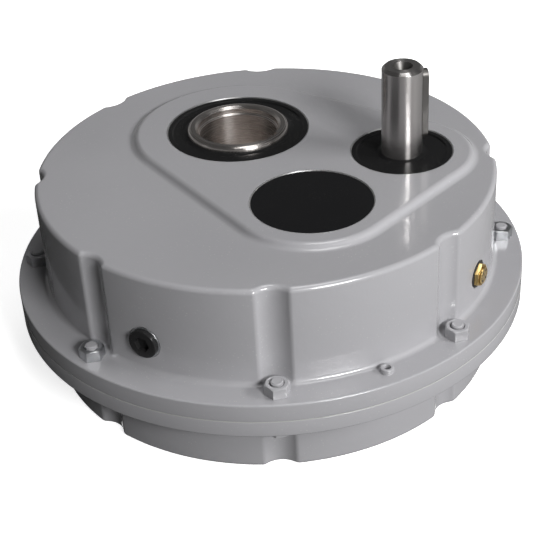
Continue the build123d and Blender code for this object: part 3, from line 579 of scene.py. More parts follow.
ENAMEL = Enamel(
    "grey_enamel", "grey_enamel", (0.372, 0.369, 0.383), (0.326, 0.323, 0.337), 0.25, 0.0,
    mottle_scale=9.0)
MACHINED_IRON = TurnedSteel(
    "machined_iron", "grey_enamel", grey(0.56), grey(0.47), 0.25, metallic=0.9)
HUB_STEEL = TurnedSteel(
    "hub_steel", "ground_steel", (0.68, 0.64, 0.61), (0.60, 0.56, 0.54), 0.24, 0.04, 1.0,
    groove=0.01)
SHAFT_STEEL = TurnedSteel(
    "shaft_steel", "ground_steel", (0.56, 0.54, 0.53), (0.50, 0.48, 0.47), 0.27, 0.0, 1.0,
    centre=INPUT_CENTRE, groove=0.004, stretch=0.93)
LAY_STEEL = TurnedSteel(
    "layshaft_steel", "ground_steel", (0.58, 0.57, 0.56), (0.50, 0.50, 0.49), 0.2, metallic=1.0,
    centre=LAY_CENTRE)
GEAR_STEEL = TurnedSteel("gear_steel", "gear_steel", grey(0.42), grey(0.35), 0.28, metallic=1.0)
LAY_GEAR_STEEL = replace(GEAR_STEEL, name="layshaft_gear_steel", centre=LAY_CENTRE)
RACE_STEEL = TurnedSteel(
    "race_steel", "bearing_steel", (0.62, 0.62, 0.61), grey(0.55), 0.12, metallic=1.0)
SPRING_STEEL = Finish(
    "spring_steel", "spring_steel", (0.10, 0.10, 0.105), (0.06, 0.06, 0.065), 0.32, metallic=1.0)
# Also dresses the input shaft's centre hole, where its dark tone is painted shade.
KEY_STEEL = Finish(
    "key_steel", "key_steel", (0.17, 0.165, 0.16), (0.13, 0.125, 0.12), 0.42, metallic=1.0,
    mottle_scale=90.0)
ZINC = Finish(
    "zinc_plate", "plated_steel", (0.66, 0.67, 0.68), (0.50, 0.51, 0.53), 0.22, 0.2, 1.0,
    mottle_scale=160.0)
BRASS = Finish(
    "brass", "brass", (0.80, 0.60, 0.27), (0.66, 0.46, 0.17), 0.22, 0.12, 1.0, mottle_scale=140.0)
DARK_WASHER = Moulded("dark_washer", "dark_washer", (0.045, 0.043, 0.04), grey(0.03), 0.4)
BLACK_PLUG = Moulded(
    "black_plug", "black_plug", (0.012, 0.012, 0.013), grey(0.02), 0.16, dust=0.2, skin=0.04,
    index=1.3)
SEAL_RUBBER = Moulded(
    "seal_rubber", "seal_rubber", (0.008, 0.008, 0.0085), grey(0.013), 0.20, dust=0.3, index=1.2)
CAP_RUBBER = Moulded(
    "cap_rubber", "cap_rubber", (0.009, 0.009, 0.010), grey(0.012), 0.34, dust=0.12)
GASKET = Moulded(
    "gasket_sealant", "gasket", (0.46, 0.46, 0.45), (0.40, 0.40, 0.39), 0.5, dust=0.0)


# ---- sub-assemblies


@dataclass
class CasingPlan:
    """Plan and heights that the two casing shells and their fasteners share."""

    centre: tuple[float, float] = (31.0, -33.0)
    body_r: float = 141.5269
    flange_r: float = 160.0269
    bolt_r: float = 148.5269
    scallop_r: float = 151.0269
    bolt_start: float = 22.5
    bolt_count: int = 8
    spanner_r: float = 13.5
    blend: float = 4.0
    wall: float = 9.0
    parting_z: float = 48.0
    gasket: float = 0.5
    flange_bottom: float = 37.5
    flange_top: float = 59.5
    rim_z: float = 122.0
    pad_top: float = 125.5
    ceiling_z: float = 113.0
    port_angles: tuple[float, ...] = (-8.2, -98.2, -188.2, -278.2)
    port_z: float = 79.0
    port_seat_r: float = 140.6989
    port_face_radii: tuple[float, ...] = (8.9, 10.2, 10.2, 10.2)
    pad_radii: Triple = (68.0, 49.5, 45.5)
    flange_round: float = 1.0
    joint_round: float = 0.35
    land: float = 0.6
    boss_round: float = 0.8
    edge: float = 0.5

    def outline(self) -> tuple[np.ndarray, np.ndarray]:
        """Scalloped plan of the drum, with its outward normals.

        One sector is the drum's arc, a convex blend arc, the concave scallop arc round the bolt,
        and the same mirrored; the blend's centre lies on both offset circles. The sector is
        turned to every bolt.

        Returns:
            Plan points (m, 2) and unit normals (m, 2), anticlockwise.
        """
        inner = self.body_r - self.blend
        reach = self.spanner_r + self.blend
        swing = math.acos((inner**2 + self.scallop_r**2 - reach**2) / (2 * inner * self.scallop_r))
        half = math.pi / self.bolt_count
        bolt = np.array([self.scallop_r, 0.0])
        hub = inner * np.array([math.cos(swing), -math.sin(swing)])
        to_bolt = math.atan2(*(bolt - hub)[::-1])
        drum = np.linspace(-half, -swing, 26)
        bend = np.linspace(-swing, to_bolt, 12)[1:]
        dip_start = to_bolt + math.pi
        dip = np.linspace(dip_start, math.pi + (math.pi - dip_start), 30)[1:]
        points = np.concatenate([
            circle(self.body_r, drum), hub + circle(self.blend, bend),
            bolt + circle(self.spanner_r, dip),
        ])
        normals = np.concatenate([circle(1.0, drum), circle(1.0, bend), -circle(1.0, dip)])
        flip = np.array([1.0, -1.0])
        tail = slice(len(drum) + len(bend) - 2, 0, -1)
        points = np.concatenate([points, points[tail] * flip])
        normals = np.concatenate([normals, normals[tail] * flip])
        turns = np.radians(self.bolt_start) + all_round(self.bolt_count)
        along, across = circle(1.0, turns), circle(1.0, turns + math.pi / 2)
        spin = np.stack([along, across], 1)
        path = np.einsum("pi,sij->spj", points, spin).reshape(-1, 2) + np.array(self.centre)
        return path, np.einsum("pi,sij->spj", normals, spin).reshape(-1, 2)

    def flange_ring(
        self, bearings: np.ndarray, face: float, side: float, inside: float, corner: float,
    ) -> np.ndarray:
        """Flange edge, joint face and inner wall of one shell, swept round the casing's centre.

        Args:
            bearings: angles of the ring's columns. face: height of the flange's outer face.
            side: 1 above the joint, -1 below. inside: height of the shell's inner end.
            corner: radius between the inner wall and that end.

        Returns:
            Grid (n, m, 3), to be closed round its second axis.
        """
        joint = self.parting_z + side * self.gasket / 2
        inner = self.body_r - self.wall
        profile = eased([
            (self.flange_r - 2.0, face, 0.0), (self.flange_r, face, self.flange_round),
            (self.flange_r, joint, self.joint_round), (self.flange_r - 1.5, joint, 0.0),
            (inner, joint, 0.0), (inner, inside, corner), (inner - corner - 2.0, inside, 0.0),
        ], 6)
        outward = circle(1.0, bearings)
        return swept(0.0 * outward + np.array(self.centre), outward, profile)

    def bearings_of(self, path: np.ndarray) -> np.ndarray:
        """Angle of each plan point round the casing's centre."""
        rel = path - np.array(self.centre)
        return np.arctan2(rel[:, 1], rel[:, 0])

    def pad_ring(self, bearings: np.ndarray) -> tuple[np.ndarray, np.ndarray]:
        """Outline of the raised pad, sampled at given angles round the casing's centre.

        The belt round three circles is traced by its normal's angle a: on circle i it is
        centre_i + r_i (cos a, sin a), and between circles it runs straight at a constant a.

        Args:
            bearings: angles round the casing's centre.

        Returns:
            Plan points (m, 2) and outward normals (m, 2).
        """
        rounds = np.array([(*axis[:2], radius) for axis, radius in zip(AXES, self.pad_radii)])
        ahead = np.roll(rounds, -1, axis=0)
        run = ahead[:, :2] - rounds[:, :2]
        lean = np.arccos((rounds[:, 2] - ahead[:, 2]) / np.linalg.norm(run, axis=1))
        swing = np.arctan2(run[:, 1], run[:, 0]) - lean
        first = np.roll(swing, 1)
        turn = (swing - first) % TAU
        sweep = first[:, None] + turn[:, None] * np.linspace(0.0, 1.0, 400)[None]
        arcs = rounds[:, None, :2] + rounds[:, 2, None, None] * circle(1.0, sweep)
        starts, ends = np.roll(arcs[:, 0], -1, axis=0), arcs[:, -1]
        blend = np.linspace(0.0, 1.0, 400)[None, 1:-1, None]
        lines = ends[:, None] + (starts - ends)[:, None] * blend
        held = np.repeat(sweep[:, -1:], lines.shape[1], axis=1)
        belt = np.concatenate([arcs, lines], axis=1).reshape(-1, 2)
        aim = np.unwrap(np.concatenate([sweep, held], axis=1).reshape(-1))
        around = self.bearings_of(belt)
        order = np.argsort(around)
        tilt = circle(1.0, aim)[order]
        around, belt = around[order], belt[order]
        parts = [np.interp(bearings, around, column, period=TAU) for column in (*belt.T, *tilt.T)]
        normals = np.stack(parts[2:], -1)
        return np.stack(parts[:2], -1), normals / np.linalg.norm(normals, axis=1, keepdims=True)

    def spot(self, radius: float, angle: float, z: float) -> Matrix:
        """Placing matrix on a circle round the casing's centre, turned outwards."""
        turn = math.radians(angle)
        x, y = circle(radius, turn, self.centre)
        return Matrix.Translation((x, y, z)) @ Matrix.Rotation(turn, 4, "Z")

    def bolt_spots(self, z: float) -> list[Matrix]:
        """Placing matrix of every bolt at a height."""
        step = 360.0 / self.bolt_count
        return [self.spot(self.bolt_r, self.bolt_start + step * i, z) for i in range(self.bolt_count)]


@dataclass
class UpperCasing:
    """Upper shell: drum, flange, raised pad and the three bores that open through it."""

    plan: CasingPlan
    rim_round: float = 3.0
    foot_round: float = 3.2
    window: float = 12.5
    pad_slope: float = 3.0
    pad_run: tuple[float, float] = (2.6, 2.3)
    pad_rounds: tuple[float, float] = (4.6, 4.2)
    port_bore: tuple[float, float] = (5.5, 6.0)
    shares: tuple[float, ...] = (0.8, 0.6, 0.4, 0.2, 0.1, 0.04, 0.0)
    bores: tuple[tuple[float, float, float, float], ...] = (
        (45.02, 50.02, 115.0, 7.5), (36.02, 36.02, 105.0, 6.0), (31.02, 31.02, 105.0, 6.0),
    )
    boss_foot: float = 96.0
    ceiling_round: float = 4.0
    bare_lift: float = 0.03
    bare_width: float = 0.25
    bare_depth: float = 1.4

    def wall_profile(self) -> np.ndarray:
        """Rim, wall, foot fillet and a first strip of the flange, as (offset, height)."""
        plan = self.plan
        guard = self.rim_round + 0.8
        heights = plan.port_z + np.linspace(self.window, -self.window, 13)
        return eased([
            (-guard, plan.rim_z, 0.0), (0.0, plan.rim_z, self.rim_round),
            *[(0.0, z, 0.0) for z in heights],
            (0.0, plan.flange_top, self.foot_round),
            (self.foot_round + 0.8, plan.flange_top, 0.0),
        ], 12)

    def window_patch(
        self, wall: np.ndarray, top: int, low: int, cols: np.ndarray, port: int,
    ) -> np.ndarray:
        """Wall between a window's border and a port, then its flat seat and blind bore.

        In unrolled coordinates (radius * angle, height) about the port, each border point b at
        polar angle a is joined to the seat's circle by face_r (cos a, sin a) + t (b - that),
        and every ring is laid back on the drum.

        Args:
            wall: the wall's grid. top, low: the window's first and last row.
            cols: its grid columns in order. port: the port's number.

        Returns:
            Grid (n, m, 3), closed round its second axis.
        """
        plan = self.plan
        angle, face_r = plan.port_angles[port], plan.port_face_radii[port]
        sides = wall[top:low + 1]
        border = np.concatenate([
            wall[top, cols], sides[1:, cols[-1]], wall[low, cols[::-1]][1:], sides[::-1][1:-1, cols[0]],
        ])
        rel = border[:, :2] - np.array(plan.centre)
        turn = wrapped(np.arctan2(rel[:, 1], rel[:, 0]) - math.radians(angle))
        frame = np.column_stack([plan.body_r * turn, border[:, 2] - plan.port_z])
        aim = np.arctan2(frame[:, 1], frame[:, 0])
        seat = circle(face_r, aim)
        edge = np.column_stack([plan.body_r * np.arcsin(seat[:, 0] / plan.body_r), seat[:, 1]])
        rows = [border]
        for share in self.shares:
            spot = edge + share * (frame - edge)
            plane = circle(plan.body_r, spot[:, 0] / plan.body_r + math.radians(angle), plan.centre)
            rows.append(np.column_stack([plane, plan.port_z + spot[:, 1]]))
        place = np.array(plan.spot(plan.port_seat_r, angle, plan.port_z))
        bore, deep = self.port_bore
        for radius, depth in ((face_r - 0.15, 0.0), (bore, 0.0), (bore, -deep), (0.01, -deep)):
            flat = place[:3, 3] + depth * place[:3, 0] + radius * np.cos(aim)[:, None] * place[:3, 1]
            rows.append(flat + np.column_stack([0 * aim, 0 * aim, radius * np.sin(aim)]))
        return np.stack(rows)

    def pad_profile(self) -> np.ndarray:
        """Foot, slope and top edge of the pad, from outside in, as (offset, height)."""
        low, high, (outside, inside) = self.plan.rim_z, self.plan.pad_top, self.pad_run
        return eased([
            (outside, low, 0.0), (0.0, low, self.pad_rounds[0]),
            (-self.pad_slope, high, self.pad_rounds[1]), (-self.pad_slope - inside, high, 0.0),
        ], 12)

    def bore_profile(self, bore: tuple[float, ...]) -> np.ndarray:
        """One bore from the pad down to its boss inside, as (radius, height)."""
        seal_r, cup_r, step_z, boss = bore
        plan = self.plan
        step = [(seal_r, step_z, 0.0), (cup_r, step_z, 0.0)] if cup_r > seal_r else []
        return eased([
            (seal_r + plan.edge + plan.land, plan.pad_top, 0.0),
            (seal_r + plan.edge, plan.pad_top, 0.0),
            (seal_r, plan.pad_top - plan.edge, 0.0), *step, (cup_r, self.boss_foot, 0.0),
            (cup_r + boss, self.boss_foot, plan.boss_round), (cup_r + boss, plan.ceiling_z, 0.0),
        ])

    def lay_wall(self, skin: Skin, wall: np.ndarray, bearings: np.ndarray) -> None:
        """Adds the wall, with a patch round each oil port in place of its own faces."""
        plan = self.plan
        edges = (plan.port_z + self.window, plan.port_z - self.window)
        top, low = [int(np.argmin(np.abs(wall[:, 0, 2] - z))) for z in edges]
        open_cols = np.zeros(len(bearings), bool)
        for port, angle in enumerate(plan.port_angles):
            away = wrapped(bearings - math.radians(angle))
            near = np.flatnonzero(np.abs(away) * plan.body_r < self.window)
            cols = near[np.argsort(away[near])]
            open_cols[cols[:-1]] = True
            skin.grid(self.window_patch(wall, top, low, cols, port))
        skin.grid(wall[:top + 1]).grid(wall[top:low + 1], skip=open_cols).grid(wall[low:])

    def make(self) -> Piece:
        """Builds the shell as one closed skin.

        Returns:
            The piece that stands for the CAD shell.
        """
        plan = self.plan
        path, normals = plan.outline()
        bearings = plan.bearings_of(path)
        wall = swept(path, normals, self.wall_profile())
        pad = swept(*plan.pad_ring(bearings), self.pad_profile())
        skin = Skin().grid(np.stack([pad[0], wall[0]])).grid(pad)
        self.lay_wall(skin, wall, bearings)
        ring = plan.flange_ring(bearings, plan.flange_top, 1.0, plan.ceiling_z, self.ceiling_round)
        skin.grid(np.stack([wall[-1], ring[0]])).grid(ring)
        top_holes, low_holes = skin.bores([self.bore_profile(bore) for bore in self.bores])
        skin.fill([pad[-1][:, :2], *top_holes], plan.pad_top)
        skin.fill([ring[-1][:, :2], *low_holes], plan.ceiling_z)
        piece = skin.build("upper_casing_skin", ENAMEL, Body.CASING)
        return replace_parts(piece, "upper_casing")

    def make_bore_edges(self) -> Piece:
        """Bare machined chamfer round each bore, as thin turned rings."""
        profiles = []
        top, edge = self.plan.pad_top, self.plan.edge
        high = top + self.bare_lift
        for seal_r, *_ in self.bores:
            outer, inner, foot = seal_r + edge + self.bare_width, seal_r - 0.02, top - self.bare_depth
            profiles.append(np.array([
                (outer, high), (seal_r + edge, high), (inner, high - edge), (inner, foot),
                (seal_r + 0.05, foot), (outer, top - 0.1), (outer, high),
            ]))
        skin = Skin()
        skin.bores(profiles)
        return skin.build("machined_bore_edges", MACHINED_IRON, Body.CASING)


@dataclass
class LowerCasing:
    """Lower shell: flange, drum and end ring with a recess round the three bores."""

    plan: CasingPlan
    root_round: float = 2.0
    foot_round: float = 2.4
    recess_r: float = 128.5269
    recess: float = 3.5
    floor_z: float = 11.0
    floor_round: float = 3.0
    bores: tuple[tuple[float, float, float, float, float], ...] = (
        (45.02, 50.02, 10.5, 29.5, 8.5), (36.02, 36.02, 8.7, 27.7, 6.0),
        (31.02, 31.02, 8.7, 26.7, 6.0),
    )
    groove: tuple[float, float] = (1.32, 2.5)

    def recess_loop(self) -> np.ndarray:
        """Outline of the recess: its circle out, and the pad's outline back.

        The pad reaches past the circle beside the input bore, so the recess is open there; the
        loop holds the bearings at which the pad lies inside the circle.

        Returns:
            Plan points (m, 2).
        """
        gap = math.atan2(*(np.array(INPUT_CENTRE[:2]) - np.array(self.plan.centre))[::-1])
        bearings = gap + np.linspace(0.0, TAU, 721)[1:-1]
        pad = self.plan.pad_ring(bearings)[0]
        inside = np.linalg.norm(pad - np.array(self.plan.centre), axis=1) < self.recess_r - 0.05
        ring = circle(self.recess_r, bearings, self.plan.centre)
        return np.concatenate([ring[inside], pad[inside][::-1]])

    def bore_profile(self, bore: tuple[float, ...]) -> np.ndarray:
        """One bore from its boss inside down to the end face, as (radius, height)."""
        seal_r, cup_r, step_z, top_z, boss = bore
        plan, (deep, wide) = self.plan, self.groove
        notch = [(cup_r, step_z, 0.0)] if cup_r > seal_r else [
            (cup_r, step_z + wide, 0.0), (cup_r + deep, step_z + wide, 0.0),
            (cup_r + deep, step_z, 0.0),
        ]
        return eased([
            (cup_r + boss, self.floor_z, 0.0), (cup_r + boss, top_z, plan.boss_round),
            (cup_r, top_z, 0.0), *notch, (seal_r, step_z, 0.0), (seal_r, plan.edge, 0.0),
            (seal_r + plan.edge, 0.0, 0.0), (seal_r + plan.edge + plan.land, 0.0, 0.0),
        ])

    def make(self) -> Piece:
        """Builds the shell as one closed skin.

        Returns:
            The piece that stands for the CAD shell.
        """
        plan = self.plan
        path, normals = plan.outline()
        wall = swept(path, normals, eased([
            (self.root_round + 0.8, plan.flange_bottom, 0.0),
            (0.0, plan.flange_bottom, self.root_round),
            (0.0, 0.0, self.foot_round), (-self.foot_round - 0.7, 0.0, 0.0),
        ], 8))
        ring = plan.flange_ring(
            plan.bearings_of(path), plan.flange_bottom, -1.0, self.floor_z, self.floor_round)
        skin = Skin().grid(wall).grid(np.stack([wall[0], ring[0]])).grid(ring)
        loop = self.recess_loop()
        sink = np.stack([np.column_stack([loop, np.full(len(loop), z)]) for z in (0.0, self.recess)])
        skin.grid(sink).fill([loop], self.recess)
        floor_holes, low_holes = skin.bores([self.bore_profile(bore) for bore in self.bores])
        skin.fill([wall[-1][:, :2], loop, *low_holes], 0.0)
        skin.fill([ring[-1][:, :2], *floor_holes], self.floor_z)
        piece = skin.build("lower_casing_skin", ENAMEL, Body.CASING)
        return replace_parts(piece, "lower_casing")


@dataclass
class FlangeFasteners:
    """Nuts, bolts and dowels round the flange."""

    plan: CasingPlan
    flats: float = 13.0
    nut_height: float = 6.8
    head_height: float = 5.3
    shank_r: float = 4.0
    bolt_length: float = 30.0
    thread_pitch: float = 1.25
    thread_depth: float = 0.55
    face_share: float = 0.475
    nut_turn: float = 17.0
    head_turn: float = 23.0
    bare_nuts: tuple[int, ...] = (0, 5)
    pin_r: float = 4.0
    pin_proud: float = 3.0
    pin_angles: tuple[float, float] = (-43.0, 137.0)

    def hexagon(self, flats: float, low: float, high: float, hole_r: float, top_r: float) -> np.ndarray:
        """Hexagon block with a 30 degree chamfer cone on its top corners.

        Where the side's radius passes the top face's circle, the top drops by tan 30 degrees of
        the excess.

        Args:
            flats: across flats. low, high: heights. hole_r: hole's radius, 0 for none.
            top_r: radius of the flat top face.

        Returns:
            Grid (n, 96, 3).
        """
        angles = all_round(HEX_SEGMENTS)
        side = hexagon_radius(flats, angles)
        fall = np.maximum(side - top_r, 0.0) * math.tan(math.radians(30.0))
        bevel = 0.5 if hole_r else 0.0
        rows = [
            (hole_r, low), (hole_r, high - bevel), (hole_r + bevel, high), (top_r, high),
            (side - 0.05, high - fall), (side, high - fall - 0.12), (side, low + 0.15),
            (side - 0.15, low), (hole_r, low),
        ]
        return np.stack([wound(radius, angles, z) for radius, z in rows])

    def thread(self, low: float, high: float) -> np.ndarray:
        """Threaded end: the radius dips by a triangle wave of height minus lead times turn.

        Args:
            low, high: heights of the threaded stretch.

        Returns:
            Grid (n, 48, 3), closed at its ends.
        """
        heights = np.linspace(low, high - 0.5, 14)
        angles = all_round(THREAD_SEGMENTS)
        phase = (heights[:, None] / self.thread_pitch - angles[None] / TAU) % 1.0
        radius = self.shank_r - 0.05 - self.thread_depth * np.abs(2.0 * phase - 1.0)
        net = wound(radius, angles, heights[:, None])
        tip = np.array([(self.shank_r - 0.7, high - 0.45), (self.shank_r - 1.1, high), (0.0, high)])
        foot = np.array([(0.0, low), (self.shank_r - 0.6, low)])
        return np.concatenate([turned(foot, THREAD_SEGMENTS), net, turned(tip, THREAD_SEGMENTS)])

    def make_nuts(self) -> None:
        """Painted nuts, and two whose plating shows."""
        top_r = self.face_share * self.flats
        block = self.hexagon(self.flats, 0.0, self.nut_height, self.shank_r + 0.05, top_r)
        painted, plated = Skin(), Skin()
        for i, spot in enumerate(self.plan.bolt_spots(self.plan.flange_top)):
            turn = Matrix.Rotation(math.radians((self.nut_turn * i) % 60.0), 4, "Z")
            (plated if i in self.bare_nuts else painted).grid(block, spot @ turn)
        pieces = [
            painted.build("painted_nuts", ENAMEL, Body.CASING, FASTENER_CREASE),
            plated.build("plated_nuts", ZINC, Body.CASING, FASTENER_CREASE),
        ]
        for piece in pieces:
            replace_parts(piece, "flange_nuts")

    def make_bolts(self) -> None:
        """Bolt heads below the flange and threaded ends above the nuts, all painted over."""
        low = self.plan.flange_bottom
        head = self.hexagon(self.flats, 0.0, self.head_height, 0.0, self.face_share * self.flats)
        over = Matrix.Rotation(math.pi, 4, "X")
        thread = self.thread(low + 0.5, low + self.bolt_length)
        heads, ends = Skin(), Skin()
        for i, spot in enumerate(self.plan.bolt_spots(0.0)):
            lower = spot @ Matrix.Translation((0.0, 0.0, low)) @ over
            turn = Matrix.Rotation(math.radians((self.head_turn * i) % 60.0), 4, "Z")
            heads.grid(head, lower @ turn)
            ends.grid(thread, spot)
        pieces = [
            heads.build("bolt_heads", ENAMEL, Body.CASING, FASTENER_CREASE),
            ends.build("bolt_ends", ENAMEL, Body.CASING, FASTENER_CREASE),
        ]
        for piece in pieces:
            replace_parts(piece, "flange_bolts")

    def make_dowels(self) -> Piece:
        """Dowels painted over with the casing, with the extraction hole in their ends."""
        top = self.plan.flange_top + self.pin_proud
        profile = eased([
            (0.0, top - 5.0, 0.0), (1.9, top - 5.0, 0.0), (2.1, top, 0.35), (self.pin_r, top, 0.7),
            (self.pin_r, self.plan.flange_bottom, 0.5), (0.0, self.plan.flange_bottom, 0.0),
        ], 5)
        skin = Skin()
        for angle in self.pin_angles:
            skin.grid(turned(profile, 48), self.plan.spot(self.plan.bolt_r, angle, 0.0))
        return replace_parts(skin.build("painted_dowels", ENAMEL, Body.CASING), "locating_dowels")


@dataclass
class OilPorts:
    """Plugs, breather and sealing washers in the upper wall."""

    plan: CasingPlan
    plug_washer_r: float = 9.75
    breather_washer_r: float = 8.25
    washer: float = 1.0
    bore_r: float = 6.0
    plug_r: float = 9.0
    plug_head: float = 2.8
    socket: float = 8.0
    socket_depth: float = 2.6
    shank: float = 9.0
    hex_flats: float = 13.0
    hex_height: float = 2.8
    cap_r: float = 5.25
    cap_height: float = 1.0
    vent_shade_r: float = 0.9
    vent_shade_depth: float = 0.6
    vent_count: int = 4
    plug_turn: float = 0.4

    def spot(self, angle: float) -> Matrix:
        """Placing matrix of a port's seat, its own Z pointing out of the wall."""
        seat = self.plan.spot(self.plan.port_seat_r, angle, self.plan.port_z)
        return seat @ Matrix.Rotation(math.pi / 2, 4, "Y")

    def make_washers(self) -> None:
        """Bright washers under the plugs and a dark one under the breather."""
        dark, bright = Skin(), Skin()
        for i, angle in enumerate(self.plan.port_angles):
            outer = self.plug_washer_r if i else self.breather_washer_r
            ring = eased([
                (self.bore_r, 0.0, 0.0), (self.bore_r, self.washer, 0.0), (outer, self.washer, 0.25),
                (outer, 0.0, 0.25), (self.bore_r, 0.0, 0.0),
            ], 4)
            (bright if i else dark).grid(turned(ring), self.spot(angle))
        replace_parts(dark.build("breather_seal_ring", DARK_WASHER, Body.CASING), "breather_washer")
        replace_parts(bright.build("plug_seal_rings", ZINC, Body.CASING), "oil_plug_washers")

    def make_plugs(self) -> Piece:
        """Round plug heads with a hexagon socket."""
        angles = all_round(HEX_SEGMENTS)
        hexagon = hexagon_radius(self.socket, angles)
        top = self.washer + self.plug_head
        outer = turned(eased([
            (self.socket * 0.62, top, 0.0), (self.plug_r, top, 0.8), (self.plug_r, self.washer, 0.2),
            (self.bore_r - 0.1, self.washer, 0.0), (self.bore_r - 0.1, self.washer - self.shank, 0.0),
            (0.0, self.washer - self.shank, 0.0),
        ], 6), HEX_SEGMENTS)
        floor = top - self.socket_depth
        levels = [(0.0, floor - 0.3), (hexagon, floor), (hexagon, top - 0.3), (hexagon + 0.25, top)]
        inner = np.stack([wound(radius, angles, z) for radius, z in levels])
        turn = Matrix.Rotation(self.plug_turn, 4, "Z")
        skin = Skin()
        for angle in self.plan.port_angles[1:]:
            skin.grid(np.concatenate([inner, outer]), self.spot(angle) @ turn)
        piece = skin.build("black_oil_plugs", BLACK_PLUG, Body.CASING, PORT_CREASE)
        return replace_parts(piece, "oil_plugs")

    def make_breather(self) -> Piece:
        """Brass breather: a chamfered hexagon under a plain turned cap."""
        high = self.washer + self.hex_height
        face, neck = high + self.cap_height, self.bore_r - 0.1
        block = FlangeFasteners(self.plan).hexagon(
            self.hex_flats, self.washer, high, neck, 0.46 * self.hex_flats)
        cap = turned(eased([
            (0.0, face, 0.0), (self.cap_r, face, 0.4), (self.cap_r, high - 0.4, 0.0),
            (neck, high - 0.4, 0.0), (neck, self.washer - self.shank, 0.0),
            (0.0, self.washer - self.shank, 0.0),
        ], 5))
        spot = self.spot(self.plan.port_angles[0])
        skin = Skin().grid(block, spot).grid(cap, spot)
        piece = skin.build("brass_breather", BRASS, Body.CASING, PORT_CREASE)
        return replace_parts(piece, "breather_plug")

    def make_vent_shade(self) -> Piece:
        """Painted shade of vent holes on the breather's face: dark shallow turned cups standing just
        proud of it, in place of holes.
        """
        face = self.washer + self.hex_height + self.cap_height + 0.02
        r, floor = self.vent_shade_r, face - self.vent_shade_depth
        # The dark washer colour on these cups is painted shade: the breather's cap has no holes.
        cup = turned(np.array([(0.0, face), (r, face), (r, floor), (0.0, floor)]), 24)
        skin = Skin()
        for turn in math.pi / 4 + all_round(self.vent_count):
            x, y = circle(2 * self.cap_r / 3, turn)
            spot = Matrix.Translation((x, y, 0.0))
            skin.grid(cup, self.spot(self.plan.port_angles[0]) @ spot)
        return skin.build("breather_vent_shade", DARK_WASHER, Body.CASING)


@dataclass
class ShaftEnd:
    """Smooth edge of the input shaft's end and a lining of its centre hole, in darker steel than the
    shaft: painted shade.
    """

    end_z: float = 181.5
    shaft_r: float = 12.5
    chamfer: float = 1.8
    top: float = 181.48
    mouth_r: float = 6.34
    cone_r: float = 5.95
    drill_r: float = 2.0
    depth: float = 12.0
    cone_angle: float = 60.0

    def make_edge(self) -> Piece:
        """Thin turned ring over the chamfer, its two edges eased by arcs of 0.3 mm."""
        outer, inner = self.shaft_r + 0.02, self.shaft_r - self.chamfer
        low = self.end_z - self.chamfer
        inside = inner - 0.5
        profile = eased([
            (inside, self.end_z - 0.02, 0.0), (inner, self.end_z, 0.3), (outer, low, 0.3),
            (outer, low - 0.5, 0.0), (outer - 0.2, low - 0.5, 0.0), (inside, self.end_z - 0.2, 0.0),
            (inside, self.end_z - 0.02, 0.0),
        ], 4)
        skin = Skin().grid(turned(profile, BORE_SEGMENTS), Matrix.Translation(INPUT_CENTRE))
        return skin.build("shaft_end_edge", SHAFT_STEEL, Body.INPUT)

    def make_centre(self) -> Piece:
        """Turns a mouth bevel, a 60 degree cone and the drilled pilot, closed behind.

        The cone falls by the change of radius over the tangent of half its angle.

        Returns:
            The piece, riding on the input shaft.
        """
        lip = self.top - 0.2
        fall = (self.cone_r - self.drill_r) / math.tan(math.radians(self.cone_angle / 2))
        floor = self.top - self.depth
        profile = np.array([
            (0.0, floor), (self.drill_r, floor + 0.8), (self.drill_r, lip - fall), (self.cone_r, lip),
            (self.mouth_r, self.top), (self.mouth_r, lip), (self.drill_r + 0.4, lip - fall),
            (self.drill_r + 0.4, floor - 0.2), (0.0, floor - 0.2),
        ])
        skin = Skin().grid(turned(profile, 96), Matrix.Translation(INPUT_CENTRE))
        # Key steel, darker than the shaft's own, paints shade into the centre hole.
        return skin.build("centre_hole_lining", KEY_STEEL, Body.INPUT)


@dataclass
class CarriedNodes:
    """Every CAD node's finish; a node that a skin replaces keeps one too."""

    groups: dict[Finish, str] = field(default_factory=lambda: {
        ENAMEL: "upper_casing lower_casing locating_dowels",
        GASKET: "casing_gasket",
        SEAL_RUBBER: "upper_hub_seal lower_hub_seal input_shaft_seal",
        CAP_RUBBER: "upper_layshaft_cap lower_layshaft_cap lower_input_cap",
        SPRING_STEEL: "bore_snap_rings bearing_shims",
        RACE_STEEL: "hub_bearing_cups layshaft_bearing_cups input_bearing_cups hub_bearing_cones "
                    "layshaft_bearing_cones input_bearing_cones hub_bearing_rollers "
                    "layshaft_bearing_rollers input_bearing_rollers",
        SHAFT_STEEL: "input_shaft",
        KEY_STEEL: "input_key layshaft_gear_key output_wheel_key",
        LAY_STEEL: "layshaft",
        LAY_GEAR_STEEL: "layshaft_gear layshaft_spacer",
        HUB_STEEL: "output_hub",
        GEAR_STEEL: "output_wheel hub_spacer",
        ZINC: "flange_bolts flange_nuts oil_plug_washers",
        BRASS: "breather_plug",
        DARK_WASHER: "breather_washer",
        BLACK_PLUG: "oil_plugs",
    })

    def dress(self, nodes: dict[str, Piece]) -> None:
        """Gives every CAD node its material.

        Args:
            nodes: the frame's nodes by name.
        """
        finishes = {name: finish for finish, names in self.groups.items() for name in names.split()}
        for name, node in nodes.items():
            node.data.materials.clear()
            node.data.materials.append(finishes[name].material())
            LOG.info("%s: dressed in %s", name, finishes[name].name)


# ---- studio


@dataclass(frozen=True)
class Lamp:
    """One soft rectangular studio lamp."""

    name: str
    place: Triple
    size: tuple[float, float]
    power: float
    mirrored: bool = True
    target: Triple = (0.03, -0.03, 0.06)

    def hang(self) -> None:
        """Adds the lamp, aimed at its target."""
        data = bpy.data.lights.new(self.name, "AREA")
        data.shape = "RECTANGLE"
        data.size, data.size_y = self.size
        data.energy = self.power
        lamp = bpy.data.objects.new(self.name, data)
        lamp.visible_glossy = self.mirrored
        lamp.location = self.place
        aim = Vector(self.target) - Vector(self.place)
        lamp.rotation_euler = aim.to_track_quat("-Z", "Y").to_euler()
        bpy.context.scene.collection.objects.link(lamp)


